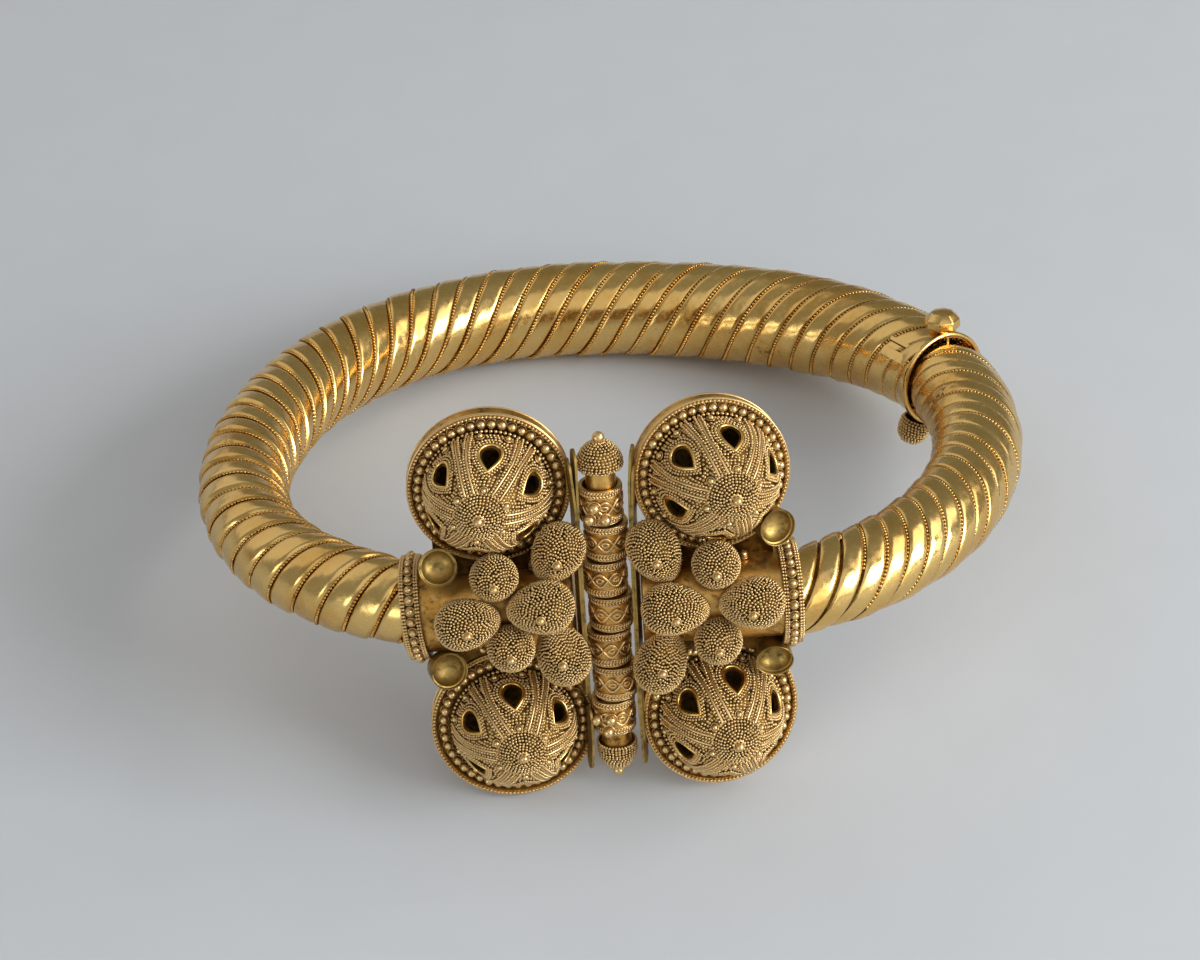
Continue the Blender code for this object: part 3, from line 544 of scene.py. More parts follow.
def finishes():
    """The armlet's finishes, made once and then found by name."""
    if "burnished_sheet_gold" not in bpy.data.materials:
        colours = bpy.context.scene.armlet_colours
        bright, warm, deep = tuple(colours.burnished), tuple(colours.warm), tuple(colours.clasp)
        grain, soil = tuple(colours.grain), tuple(colours.soil)
        crust, film = tuple(colours.crust), tuple(colours.film)
        # Burnished high-carat sheet: the eye sees the room in it, softened by dents.
        gold("burnished_sheet_gold", bright, warm, soil, roughness=0.19, patches=9 * MM, soiling=0.2,
             dent=0.16 * MM)
        # Satin sheet of the clasp: redder and duller, with burial soil; its darker tone is partly painted
        # shade of the crowded clasp.
        gold("satin_clasp_gold", warm, deep, soil, roughness=0.34, patches=4 * MM, soiling=1.1,
             dent=0.06 * MM)
        # Granules and beaded wire: fused gold, each bead with its own small highlight, a little crust.
        gold("granulated_gold", grain, deep, soil, roughness=0.08, patches=4 * MM, soiling=0.3,
             dent=0.01 * MM, deposit=crust)
        # Beaded wire in the seams of the shank, in a darker gold than the sheet as painted shade on the
        # beads.
        gold("seam_wire_gold", warm, deep, soil, roughness=0.18, patches=6 * MM, soiling=0.3,
             dent=0.02 * MM)
        # The sheet under the granules and in the seams: soil that has stayed there, and painted shade of the
        # gaps and grooves: dark and matt.
        gold("soil_and_painted_shade_gold", darker(deep, 0.14), darker(deep, 0.4), soil, roughness=0.5,
             patches=1.5 * MM, soiling=0.8, dent=0.03 * MM)
        # The cups and the folded strips: smooth sheet dulled by an even olive film.
        gold("filmed_gold", film, darker(film, 0.72), soil, roughness=0.46, patches=1.6 * MM, soiling=0.9,
             dent=0.03 * MM)
    return bpy.data.materials


# Shank.


class Arm:
    """One arm of the shank: its ribs wind round it as a screw with several starts."""

    def __init__(self, stations, pitch, starts, phase):
        self.stations = stations
        self.pitch = math.radians(pitch)
        self.starts = starts
        self.phase = math.radians(phase)

    def angle(self, rib, share):
        """Angle round the oval of a point on a rib, at a share of the turn round the tube."""
        level = (rib + self.starts * share) * self.pitch
        degrees = np.degrees(level)
        # How much steeper the ribs run on the side that is seen, and where round the tube that side is.
        steeper = np.interp(degrees, (-60, 15, 40, 90, 140, 190, 240), (0, 0.1, 0.3, 0.42, 0.3, -0.25, -0.3))
        seen = np.interp(degrees, (-60, 0, 90, 180, 240), (30, 90, 150, 90, 30)) / 360
        wave = steeper * np.sin(TURN * (share - seen)) / TURN
        shift = self.phase * np.interp(degrees, (60, 100, 226), (-0.5, 0, 1))
        return level + self.starts * self.pitch * wave + shift

    def surface(self, rib, share, groove, plain_from, plain_to):
        """Points on the ribbed sheet, in the ring's frame."""
        angle = self.angle(rib, share)
        turn = TURN * share
        part = rib - np.floor(rib)
        ridge = 1 - np.abs(2 * part - 1) ** 6
        # At the back of the ring the inner side of the tube is flatter, and its seams are shallower.
        rear = np.clip(1 - np.abs(np.degrees(angle) - 105) / 75, 0, 1)
        inner = np.exp(-((turn - math.radians(195)) / math.radians(48)) ** 2)
        depth = groove * (1 - 0.3 * rear - 0.3 * inner * rear)
        level = rib + self.starts * share
        # No two ribs stand up alike, and each stands higher at its second edge.
        rise = 0.08 * MM * np.sin(2.1 * (np.floor(rib) % self.starts) + 0.9 * level)
        rise = rise + 0.24 * MM * (part - 0.5)
        fade = math.radians(1.2)
        ribbed = np.clip((angle - plain_from) / fade, 0, 1) * np.clip((plain_to - angle) / fade, 0, 1)
        relief = ribbed * (rise - depth * (1 - ridge))
        flat = 0.35 * MM * inner * rear
        radius = shank_radius(self.stations, angle) + 0.08 * MM + relief - flat
        outward = oval_outward(angle)
        height = np.stack([0 * turn, 0 * turn, radius * np.sin(turn)], -1)
        return oval_point(angle) + outward * (radius * np.cos(turn))[..., None] + height


LONG_ARM = Arm(LONG_ARM_RADII, 4.55, 5, 2.0)
SHORT_ARM = Arm(SHORT_ARM_RADII, 3.8, 6, 0.0)


def ribbed_tube(name, arm, span, plain, sizes, looks):
    """A sheet laid out flat as a grid, each row along a seam, then rolled into the twisted tube.

    The span is the angles that it reaches at least, and its ribs end at the two plain angles.
    """
    rows, sides = sizes.rows_per_rib, sizes.sides
    first = math.floor(span[0] / arm.pitch) - arm.starts - 1
    last = math.ceil(span[1] / arm.pitch) + 1
    obj = primitive(bpy.ops.mesh.primitive_grid_add, x_subdivisions=(last - first) * rows,
                    y_subdivisions=sides, size=1)
    flat = points_of(obj) + 0.5
    rib = first + np.round(flat[:, 0] * (last - first) * rows) / rows
    share = np.round(flat[:, 1] * sides) / sides
    set_points(obj, moved(REST, arm.surface(rib, share, sizes.groove, *plain)))
    obj.name = name
    obj.data.materials.append(looks["burnished_sheet_gold"])
    obj.data.materials.append(looks["soil_and_painted_shade_gold"])
    # Soil, and painted shade of the groove, on the low side of each seam beside the wires.
    corners = faces_of(obj)
    part = rib[corners].mean(1) % 1
    angle = arm.angle(rib, share)
    ribbed = ((angle > plain[0]) & (angle < plain[1]))[corners].all(1)
    seam_soil_and_shade = (part < 1 / rows) & ribbed
    obj.data.polygons.foreach_set("material_index", seam_soil_and_shade.astype(np.int32))
    edit_all()
    bpy.ops.mesh.remove_doubles(threshold=1e-6)
    bpy.ops.object.mode_set(mode="OBJECT")
    return obj


def cut_end(obj, point, normal):
    """Cut the tube at a plane and leave the new rim selected. The normal's side is dropped.

    Only the faces near the point are cut, because the plane meets the ring in two places.
    """
    reach = 40 * MM
    point = REST @ Vector(point)
    normal = REST.to_3x3() @ Vector(normal)
    activate(obj)
    bpy.ops.object.mode_set(mode="EDIT")
    bpy.ops.mesh.select_mode(type="VERT")
    bpy.ops.mesh.select_all(action="DESELECT")
    bm = bmesh.from_edit_mesh(obj.data)
    for face in bm.faces:
        if (face.verts[0].co - point).length < reach:
            face.select_set(True)
    bmesh.update_edit_mesh(obj.data)
    bpy.ops.mesh.bisect(plane_co=point, plane_no=normal, clear_outer=True)
    bpy.ops.mesh.select_all(action="DESELECT")
    bm = bmesh.from_edit_mesh(obj.data)
    for edge in bm.edges:
        if edge.is_boundary and all(abs((vert.co - point).dot(normal)) < 2e-6 for vert in edge.verts):
            edge.select_set(True)
    bmesh.update_edit_mesh(obj.data)
    return point, normal


def close_end(point, normal, inset, bulge):
    """Round the selected rim in towards the point on its plane, and close it."""
    bpy.ops.mesh.extrude_region_move(TRANSFORM_OT_translate={"value": tuple(normal * bulge)})
    bpy.ops.transform.resize(value=(inset, inset, inset), center_override=tuple(point + normal * bulge))
    bpy.ops.mesh.edge_face_add()
    round_off_mesh()


def turn_in_mouth(point, normal):
    """Turn the selected rim in and run it back as the socket's inner wall, which is then closed."""
    bpy.ops.mesh.extrude_region_move(TRANSFORM_OT_translate={"value": (0, 0, 0)})
    bpy.ops.transform.resize(value=(0.92, 0.92, 0.92), center_override=tuple(point))
    bpy.ops.mesh.extrude_region_move(TRANSFORM_OT_translate={"value": tuple(-normal * SOCKET_DEPTH)})
    bpy.ops.mesh.edge_face_add()
    round_off_mesh()


def seam_beads(arm, seams, span, plain, cut, sizes):
    """A beaded wire in every seam between two angles, sunk here and there.

    The cut is a point on the plane that ends the tube, and the direction from it into the tube. The
    beads keep off that plane, as far as it crosses this end of the tube.
    """
    share = np.linspace(0, 1, 181)
    cut_at, inward = cut
    rows = []
    for seam in seams:
        rib = np.full_like(share, seam)
        path = arm.surface(rib, share, sizes.groove, *plain)
        angle = arm.angle(rib, share)
        outward = unit(path - oval_point(angle))
        level = rib + arm.starts * share
        sunk = 0.5 + 0.5 * np.sin(2.7 * (seam % arm.starts) + 1.1 * level + 2 * np.sin(0.37 * level))
        path = path + outward * (sizes.seam_bead * (1.4 - 0.6 * sunk))[:, None]
        inside = (angle > span[0]) & (angle < span[1])
        if inside.sum() < 3:
            continue
        beads = paced(path[inside], 1.85 * sizes.seam_bead)
        from_cut = beads - cut_at
        far = np.linalg.norm(from_cut, axis=1) > 15 * MM
        rows.append(beads[far | (from_cut @ inward > 0.5 * MM)])
    return strew(model_granule(1), np.concatenate(rows), sizes.seam_bead)


def settle_arm(arm, tube, beads, looks):
    """Hang one arm's sheet and the wires in its seams on their body."""
    settled(tube, f"{arm}_arm", "smooth_gold", f"{arm}_shank")
    seam_wires = object_from(f"{arm}_arm_seam_wires", [beads], looks["seam_wire_gold"], REST)
    settled(seam_wires, f"{arm}_arm", "smooth_gold")


def long_arm(sizes, looks):
    """The long arm, from the open socket at its mouth to the left collar."""
    mouth = oval_point(MOUTH_ANGLE)
    into = Matrix.Rotation(MOUTH_SLANT, 3, "Z") @ Vector(oval_forward(MOUTH_ANGLE))
    centre, axis = COLLARS["left"]
    end = math.atan2(centre[1], centre[0]) % TURN
    plain = (MOUTH_ANGLE - 0.2, end + 1)
    tube = ribbed_tube("long_arm_sheet", LONG_ARM, (MOUTH_ANGLE - HINGE_SPARE, end + COLLAR_SPARE), plain,
                       sizes, looks)
    close_end(*cut_end(tube, centre - axis * COLLAR_REACH * MM, axis), 0.9, 0.1 * MM)
    turn_in_mouth(*cut_end(tube, mouth, -into))
    beads = seam_beads(LONG_ARM, range(0, 55), (plain[0], end - math.radians(0.8)), plain,
                       (mouth, np.array(into)), sizes)
    settle_arm("long", tube, beads, looks)
    rim_centre = Vector(mouth + oval_outward(MOUTH_ANGLE) * 0.1 * MM)
    rim = moved(facing(into, rim_centre), circle(SOCKET_RIM_RADIUS, 0, 72))
    rims = wires("socket_rim", [rim], 0.35 * MM, looks["burnished_sheet_gold"], 2, True, REST)
    settled(rims, "long_arm", "smooth_gold")


def short_arm(sizes, looks):
    """The short arm, from the right collar to the plain end that turns in the socket."""
    centre, axis = COLLARS["right"]
    face = centre + axis * COLLAR_REACH * MM
    start = math.atan2(centre[1], centre[0])
    plain = (start - 1, SHORT_END_ANGLE - math.radians(1.5))
    tube = ribbed_tube("short_arm_sheet", SHORT_ARM, (start - COLLAR_SPARE, SHORT_END_ANGLE + HINGE_SPARE),
                       plain, sizes, looks)
    close_end(*cut_end(tube, face, -axis), 0.9, 0.1 * MM)
    close_end(*cut_end(tube, oval_point(SHORT_END_ANGLE), oval_forward(SHORT_END_ANGLE)), 0.6, 0.5 * MM)
    span = (start + math.radians(9), plain[1] - math.radians(1.8))
    settle_arm("short", tube, seam_beads(SHORT_ARM, range(-24, 6), span, plain, (face, axis), sizes), looks)


def length(name, description, millimetres):
    return FloatProperty(name=name, description=description, default=millimetres * MM, unit="LENGTH",
                         precision=5)


def colour(name, description, hex_colour):
    return FloatVectorProperty(name=name, description=description, subtype="COLOR",
                               default=linear(hex_colour))


class ArmletShankSizes(bpy.types.PropertyGroup):
    """Sizes of the twisted shank."""

    groove: length("Groove depth", "Depth of the seams between the ribs", 0.42)
    seam_bead: length("Seam bead radius", "Radius of the beads of the seam wires", 0.26)
    rows_per_rib: IntProperty(name="Rows per rib", description="Rows of faces across each rib",
                              default=10, min=4)
    sides: IntProperty(name="Sides", description="Faces round the tube", default=72, min=16)


class ArmletClaspSizes(bpy.types.PropertyGroup):
    """Sizes of the clasp's ornament."""

    granule: length("Granule radius", "Radius of the fine granules on the bosses", 0.176)
    granule_pitch: length("Granule pitch", "Distance from granule to granule", 0.41)
    wire_bead: length("Wire bead radius", "Radius of the beads of the beaded wires", 0.185)
    large_granule: length("Large granule radius", "Radius of the granules round the roundels", 0.53)
    collar_granules: IntProperty(name="Granules on a collar",
                                 description="Large granules round each collar", default=30, min=6)


class ArmletColours(bpy.types.PropertyGroup):
    """Colours of the finishes."""

    burnished: colour("Burnished gold", "Bright sheet gold", "#E8C178")
    warm: colour("Warm gold", "Gold where it has kept a warm patina", "#DFB062")
    # The clasp's deeper gold is partly painted shade among the crowded clasp parts.
    clasp: colour("Clasp gold", "Orange-brown patches of the clasp", "#C08C40")
    grain: colour("Granule gold", "Gold of the granules and fine wires", "#DFAC55")
    film: colour("Film", "Olive film in the empty cups and on the strips", "#B59555")
    # Soil colour, also mixed into the dark ground that paints the shade of the recesses.
    soil: colour("Soil", "Dark soil in the recesses", "#2B1B0A")
    crust: colour("Crust", "Pale grey burial crust", "#8C8F92")
    paper: colour("Paper", "The studio floor", "#C9CACE")


class ARMLET_OT_shank(bpy.types.Operator):
    """Model both arms of the twisted shank, with their beaded seams"""

    bl_idname = "armlet.shank"
    bl_label = "Twisted shank"

    def execute(self, context):
        looks = finishes()
        long_arm(context.scene.armlet_shank, looks)
        short_arm(context.scene.armlet_shank, looks)
        return {"FINISHED"}


# Granulated forms.


def spread_directions(count, share):
    """Directions evenly spread from +Y over a share of the sphere, as granules settle on a ball."""
    order = np.arange(count) + 0.5
    cosine = 1 - 2 * share * order / count
    sine = np.sqrt(1 - cosine ** 2)
    around = order * math.pi * (3 - math.sqrt(5))
    return np.stack([sine * np.cos(around), cosine, sine * np.sin(around)], 1)


def shaken(points, amount, seed):
    return points + np.random.default_rng(seed).normal(0, amount, points.shape)


def packed_directions(count, share):
    """Spread directions that were shaken and have settled again: evenly apart, but in no rows."""
    gap = math.sqrt(4 * math.pi * share / (NESTED * count))
    points = unit(shaken(spread_directions(count, share), 0.2 * gap, count))
    for _ in range(6):
        away = points[:, None] - points[None]
        apart = np.linalg.norm(away, axis=2) + np.eye(count)
        push = np.maximum(gap - apart, 0) / apart
        points = unit(points + 0.25 * (away * push[..., None]).sum(1))
    return points


def uneven(size, count, seed, share=0.06):
    return size * (1 + np.random.default_rng(seed).normal(0, share, count))


def granule_rows(profile, pitch, lift=0.0):
    """Rows of granules round a turned form, an even pitch apart, each row nested into the last.

    The profile's radii and heights, the pitch and the lift are in millimetres.
    """
    path = np.array([(ring + lift, 0, height) for ring, height in profile]) * MM
    points = []
    for order, (ring, _, height) in enumerate(paced(path, NESTED * pitch * MM)):
        if ring > 0.4 * pitch * MM:
            points.append(paced(circle(ring, height, start=order * 1.3), pitch * MM, closed=True))
    return np.concatenate(points)


def granulated_boss(name, centre, tip, length, width, taper, sizes, granule, looks):
    """A pear, egg or ball covered with granules, with one ringed granule at its foremost point.

    Its core lies a little under the solid's surface and its granules stand half out of it.
    """
    matrix = facing(tip, centre, (0, -1, 0))
    core = primitive(bpy.ops.mesh.primitive_uv_sphere_add, segments=32, ring_count=18, radius=1)

    def placed(directions, lift):
        narrow = (1 - taper * directions[:, 2])[:, None]
        half = np.array((width / 2 + lift, width / 2 + lift, length / 2 + lift))
        return directions * half * np.concatenate([narrow, narrow, np.ones_like(narrow)], 1)

    set_points(core, placed(points_of(core), -0.1 * MM))
    # The core takes the dark ground: soil, and painted shade in the gaps between the granules.
    core.data.materials.append(looks["soil_and_painted_shade_gold"])
    core.data.shade_smooth()
    core.data.transform(matrix)

    # The back of a boss lies against its tube, so granules cover only this share of its area.
    share = 0.76
    area = math.pi * (width + 0.2 * MM) * (length + 0.2 * MM)
    count = round(share * area / (NESTED * sizes.granule_pitch ** 2))
    points = placed(packed_directions(count, share), 0.07 * MM)
    foremost = np.array([[0.0, 1.0, 0.0]])
    apex = placed(foremost, 0.28 * MM)
    # The ring at the foremost point keeps the fine granules off.
    points = points[np.linalg.norm(points - apex, axis=1) > 0.58 * MM]
    cover = object_from(name + "_granules", [
        strew(granule, points, uneven(sizes.granule, len(points), 7)),
        strew(model_granule(3), apex, 0.42 * MM),
        strew(model_ring(0.2, 16, 5), apex - foremost * 0.16 * MM, 0.5 * MM, foremost),
    ], looks["granulated_gold"], matrix)
    return joined(name, [core, cover])


class ARMLET_OT_bosses(bpy.types.Operator):
    """Model the twelve granulated bosses"""

    bl_idname = "armlet.bosses"
    bl_label = "Granulated bosses"

    def execute(self, context):
        sizes = context.scene.armlet_clasp
        looks = finishes()
        granule = model_granule(1)
        for side, rows in BOSSES.items():
            for row, (across, forward, up, length, width, taper, clock) in rows.items():
                turn = math.radians(clock)
                tip = (SIDE[side] * math.sin(turn), 0, math.cos(turn))
                centre = clasp_point(side, across * MM, forward * MM, up * MM)
                name = f"granulated_boss_{side}_{row}"
                boss = granulated_boss(name, centre, tip, length * MM, width * MM, taper, sizes, granule,
                                       looks)
                boss.data.transform(REST)
                settled(boss, BODY[side], "granulated_gold", f"boss_{side}_{row}")
        return {"FINISHED"}


# Roundels.


DOME_RADIUS = 7.2 * MM
DOME_HEIGHT = 7.9 * MM
DOME_SHAPE = np.array((DOME_RADIUS, DOME_RADIUS, DOME_HEIGHT))
# A length down the dome's side, divided by this, is an angle from its apex.
DOME_REACH = 7.6 * MM
# The six openings: the angle from the apex to their middle, half their length and half their breadth.
OPENING_POLAR = math.radians(56)
OPENING_LENGTH = 1.65 * MM
OPENING_BREADTH = 1.22 * MM


def dome_point(polar, azimuth, lift=0.0):
    polar, azimuth = np.broadcast_arrays(np.asarray(polar, float), np.asarray(azimuth, float))
    flat = np.stack([np.sin(polar) * np.cos(azimuth), np.sin(polar) * np.sin(azimuth), np.cos(polar)], -1)
    return flat * DOME_SHAPE + unit(flat / DOME_SHAPE) * lift


def teardrop_half_width(turn, grow):
    return (OPENING_BREADTH + grow) * 1.3 * np.sin(turn) * np.sin(turn / 2)


def teardrop(azimuth, grow, lift, count=48):
    """Outline on the dome of an opening with its tip towards the apex, grown by a margin."""
    turn = TURN * np.arange(count) / count
    polar = OPENING_POLAR - (OPENING_LENGTH + grow) * np.cos(turn) / DOME_REACH
    across = teardrop_half_width(turn, grow)
    return dome_point(polar, azimuth + across / (DOME_RADIUS * np.sin(polar)), lift)


def in_openings(polar, azimuth, grow):
    """Which places on the dome lie in one of the six openings or its margin."""
    along = (OPENING_POLAR - polar) * DOME_REACH / (OPENING_LENGTH + grow)
    turned_by = (azimuth + TURN / 12) % (TURN / 6) - TURN / 12
    half = np.abs(teardrop_half_width(np.arccos(np.clip(along, -1, 1)), grow))
    return (np.abs(along) < 1) & (np.abs(turned_by) * DOME_RADIUS * np.sin(polar) < half)


def dome_shell(looks):
    """The openwork dome: turned, given its wall, and pierced by six teardrops."""
    slopes = np.radians(np.linspace(90, 6, 18))
    rings = [(DOME_RADIUS / MM * math.sin(slope), DOME_HEIGHT / MM * math.cos(slope)) for slope in slopes]
    # The dome's shell takes the dark ground: soil, and painted shade between its wires and granules.
    dome = turned("dome", rings, 72, looks["soil_and_painted_shade_gold"], close_start=False)
    thickened(dome, 0.5 * MM, -1)
    plugs = []
    for index in range(6):
        azimuth = TURN * index / 6
        plug = primitive(bpy.ops.mesh.primitive_circle_add, vertices=24, radius=1, fill_type="NGON")
        set_points(plug, teardrop(azimuth, 0, -1.2 * MM, 24))
        outward = dome_point(OPENING_POLAR, azimuth, 1) - dome_point(OPENING_POLAR, azimuth)
        edit_all()
        bpy.ops.mesh.extrude_region_move(TRANSFORM_OT_translate={"value": tuple(outward * 2.4 * MM)})
        bpy.ops.mesh.select_all(action="SELECT")
        bpy.ops.mesh.normals_make_consistent(inside=False)
        bpy.ops.object.mode_set(mode="OBJECT")
        plugs.append(plug)
    cutter = joined("dome_plugs", plugs)
    activate(dome)
    pierce = dome.modifiers.new("pierce", "BOOLEAN")
    pierce.operation = "DIFFERENCE"
    pierce.object = cutter
    bpy.ops.object.modifier_apply(modifier=pierce.name)
    bpy.data.objects.remove(cutter)
    bpy.ops.object.shade_smooth_by_angle(angle=math.radians(40))
    return dome


def band_path(slopes, middle, apart, lift):
    """A line down the dome at a changing distance to one side of the middle between two openings."""
    aside = MM * np.interp(slopes, np.radians((24, 56, 83)), apart)
    return dome_point(slopes, middle + aside / (DOME_RADIUS * np.sin(slopes)), lift)


def dome_wires(bead):
    """The dome's wires: two beaded ones round each opening, and a V of raised bands between openings.

    Each band is a smooth wire with a beaded one on either side.
    """
    pitch = 2.05 * bead
    slopes = np.radians(np.linspace(24, 83, 60))
    rows, smooth = [], []
    for index in range(6):
        opening = TURN * index / 6
        middle = opening + TURN / 12
        for grow in (0.5, 0.86):
            rows.append(paced(teardrop(opening, grow * MM, bead * 0.7), pitch, closed=True))
        for hand in (-1, 1):
            beside = [np.array(apart) * hand for apart in ((0.2, 0.16, 0.5), (0.86, 0.78, 1.2))]
            rows += [paced(band_path(slopes, middle, apart, bead * 1.5), pitch) for apart in beside]
            smooth.append(band_path(slopes[::2], middle, (beside[0] + beside[1]) / 2, bead * 1.4))
    return np.concatenate(rows), smooth


def dome_filling(sizes, taken):
    """Granules in rows over what the wires, the cap and the openings leave free."""
    pitch = sizes.granule_pitch * 1.05
    top, foot = math.radians(23), math.radians(84)
    found = []
    for row in range(60):
        polar = top + NESTED * pitch * row / DOME_REACH
        if polar > foot:
            break
        count = round(TURN * DOME_RADIUS * math.sin(polar) / pitch)
        azimuth = TURN * (np.arange(count) + 0.5 * (row % 2)) / count
        free = ~in_openings(np.full(count, polar), azimuth, 0.5 * MM)
        found.append(dome_point(polar, azimuth[free], -0.02 * MM))
    found = np.concatenate(found)
    apart = np.linalg.norm(found[:, None] - taken[None], axis=2).min(1)
    return found[apart > 0.3 * MM]


# The button at a dome's apex: the rings of its ground, and the rings that its granules follow over it.
BUTTON_GROUND = ((3.02, 6.9), (2.85, 7.25), (2.4, 7.62), (1.8, 7.93), (1.0, 8.18), (0.3, 8.26))
BUTTON_COVER = ((0.02, 8.46), (1.0, 8.38), (1.9, 8.12), (2.5, 7.78), (2.85, 7.45), (3.0, 7.1))


def dome_ornament(sizes, looks, granule):
    """Wires and granules of the dome, its ringed studs, and the granulated button at the apex."""
    bead = sizes.wire_bead
    beads, smooth = dome_wires(bead)
    tips = TURN * np.arange(6) / 6
    # A stud above the tip of each opening, and two at the foot of the bands between openings.
    feet = np.concatenate([tips + TURN / 12 - 0.3, tips + TURN / 12 + 0.3])
    polar = np.radians(np.concatenate([np.full(6, 26), np.full(12, 79)]))
    azimuth = np.concatenate([tips, feet])
    studs = dome_point(polar, azimuth, 0.26 * MM)
    normals = dome_point(polar, azimuth, 1) - dome_point(polar, azimuth, 0)
    filling = dome_filling(sizes, np.concatenate([beads, np.repeat(studs, 2, axis=0) * 0.985]))
    filling = filling[np.linalg.norm(filling[:, None] - studs[None], axis=2).min(1) > 0.66 * MM]
    filling = shaken(filling, 0.03 * MM, 3)
    cap = granule_rows(BUTTON_COVER, 0.40, 0.03)
    apex = np.array([[0, 0, APEX_HEIGHT]])
    covered = object_from("dome_granules", [
        strew(granule, shaken(beads, 0.012 * MM, 5), uneven(bead, len(beads), 6)),
        strew(granule, filling, uneven(0.2 * MM, len(filling), 8)),
        strew(granule, circle(7.42 * MM, 0.62 * MM, 84), 0.25 * MM),
        strew(granule, shaken(cap, 0.02 * MM, 9), uneven(0.18 * MM, len(cap), 10)),
        strew(model_granule(3), apex, 0.5 * MM),
        strew(model_ring(0.2, 20, 5), apex - np.array((0, 0, 0.3 * MM)), 0.62 * MM),
        strew(model_granule(2), studs, 0.34 * MM),
        strew(model_ring(0.16, 16, 4), studs - normals * 0.12 * MM, 0.46 * MM, normals),
    ], looks["granulated_gold"])
    collars = wires("opening_collars", [teardrop(tip, 0.14 * MM, 0.1 * MM) for tip in tips], 0.19 * MM,
                    looks["burnished_sheet_gold"], 2, True)
    bands = wires("smooth_bands", smooth, 0.15 * MM, looks["granulated_gold"], 2)
    # The dark ground: soil, and painted shade under the button's granules.
    ground = turned("button_ground", BUTTON_GROUND, 40, looks["soil_and_painted_shade_gold"])
    return [covered, collars, bands, ground]


def roundel_base(radius, sizes, looks, granule):
    """The low round box under a dome, with its beaded rim and its channel of ringed granules."""
    edge = radius / MM
    box_rings = [(0.4, -1.8), (edge - 0.2, -1.8), (edge, -1.65), (edge, 0.3), (edge - 0.06, 0.4),
                 (edge - 0.42, 0.4), (edge - 0.5, 0.28), (edge - 0.52, 0.0), (7.1, 0.0)]
    box = turned("roundel_box", box_rings, 96, looks["satin_clasp_gold"], close_end=False)
    floor_rings = [(edge - 0.5, 0.02), (7.0, 0.03), (6.9, -0.9), (0.5, -1.0)]
    # The dark ground: soil, and painted shade in the channel.
    floor = turned("channel_floor", floor_rings, 72, looks["soil_and_painted_shade_gold"], close_start=False)
    bead = 0.2 * MM
    rims = paced(circle(radius - 0.22 * MM, 0.58 * MM), 2.35 * bead, closed=True)
    lines = wires("rim_lines", [circle(radius + 0.02 * MM, height * MM) for height in (0.38, 0.05, -1.55)],
                  0.11 * MM, looks["granulated_gold"], 1, True)
    # The channel runs from the dome's foot to the box's rim, with a large granule every 1.2 mm.
    middle = (radius - 0.5 * MM + 7.5 * MM) / 2
    row = circle(middle, 0.45 * MM, round(TURN * middle / (1.2 * MM)))
    ornament = object_from("roundel_rims", [
        strew(granule, rims, uneven(bead, len(rims), 11, 0.04)),
        strew(model_granule(2), row, uneven(sizes.large_granule, len(row), 12, 0.05)),
        strew(model_ring(0.12, 16, 4), row - np.array((0, 0, 0.36 * MM)), sizes.large_granule * 1.05),
    ], looks["granulated_gold"])
    return joined("roundel_base", [box, floor, lines, ornament])


class ARMLET_OT_roundels(bpy.types.Operator):
    """Model one openwork dome, copy it to its four places, and give each its round box"""

    bl_idname = "armlet.roundels"
    bl_label = "Openwork roundels"

    def execute(self, context):
        sizes = context.scene.armlet_clasp
        looks = finishes()
        granule = model_granule(1)
        dome = joined("roundel_dome", [dome_shell(looks), *dome_ornament(sizes, looks, granule)])
        for row, (side, across, height, outward, upward, radius, right, up, turn) in ROUNDELS.items():
            centre = clasp_point(side, across * MM, -0.85 * MM, height * MM)
            place = REST @ facing(mouth_axis(side, outward, upward), centre)
            piece = copied(dome, "dome", Matrix.Rotation(math.radians(turn), 4, "Z"))
            points = points_of(piece)
            share = np.maximum(points[:, 2:], 0) / APEX_HEIGHT
            points[:, :2] += share * np.array((right, up)) * MM
            set_points(piece, points)
            base = roundel_base(radius * MM, sizes, looks, granule)
            piece = joined(f"openwork_roundel_{row}", [piece, base])
            piece.data.transform(place)
            settled(piece, BODY[side], "granulated_gold", f"roundel_{row}")
        bpy.data.objects.remove(dome)
        return {"FINISHED"}


# Clasp body.


# The folded strips that stand beside the barrel: each leaf follows heights and distances from the
# barrel's axis, in millimetres, from its top down.
STRIPS = {
    "left": (((21.3, 3.0), (12, 3.15), (-11.2, 3.15)), ((20.2, 3.75), (14, 3.4), (-11.2, 3.45)),
             ((-13.0, 3.1), (-18.0, 3.15), (-21.4, 3.4))),
    "right": (((21.4, 3.75), (17, 3.4), (12, 3.25), (-12, 3.05), (-21.2, 3.3)),
              ((19.0, 3.9), (12, 3.5), (-12, 3.3), (-18.5, 3.5))),
}


def leaf(path, side, material):
    """A narrow sheet on edge with rounded ends, slightly turned so that its face shows."""
    heights, distances = np.array(path, float).T * MM
    reach = 1.3 * MM

    def lay_out(along, across):
        height = heights[-1] + (heights[0] - heights[-1]) * across
        past = np.maximum(0, np.maximum(height - heights[0], heights[-1] - height) + reach) / reach
        half = reach * np.sqrt(np.clip(1 - past ** 2, 0.03, 1))
        aside = np.interp(height, heights[::-1], distances[::-1])
        depth = (2 * along - 1) * half
        points = np.stack([SIDE[side] * (aside - 0.2 * depth), -depth, height], 1)
        return clasp_point(side, 0, 0.9 * MM, 0) + points

    return sheet("leaf", 6, 64, lay_out, 0.28 * MM, 0, material)


# Large granules in wire rings that sit on the tubes: to the side, forward, up, and radius.
LOOSE_GRANULES = {
    "left": ((8.5, -0.2, 6.15, 0.62), (15.0, 3.7, -2.65, 0.42)),
    "right": ((16.0, 0.2, 5.95, 0.5), (9.05, 0.8, -6.4, 0.45)),
}


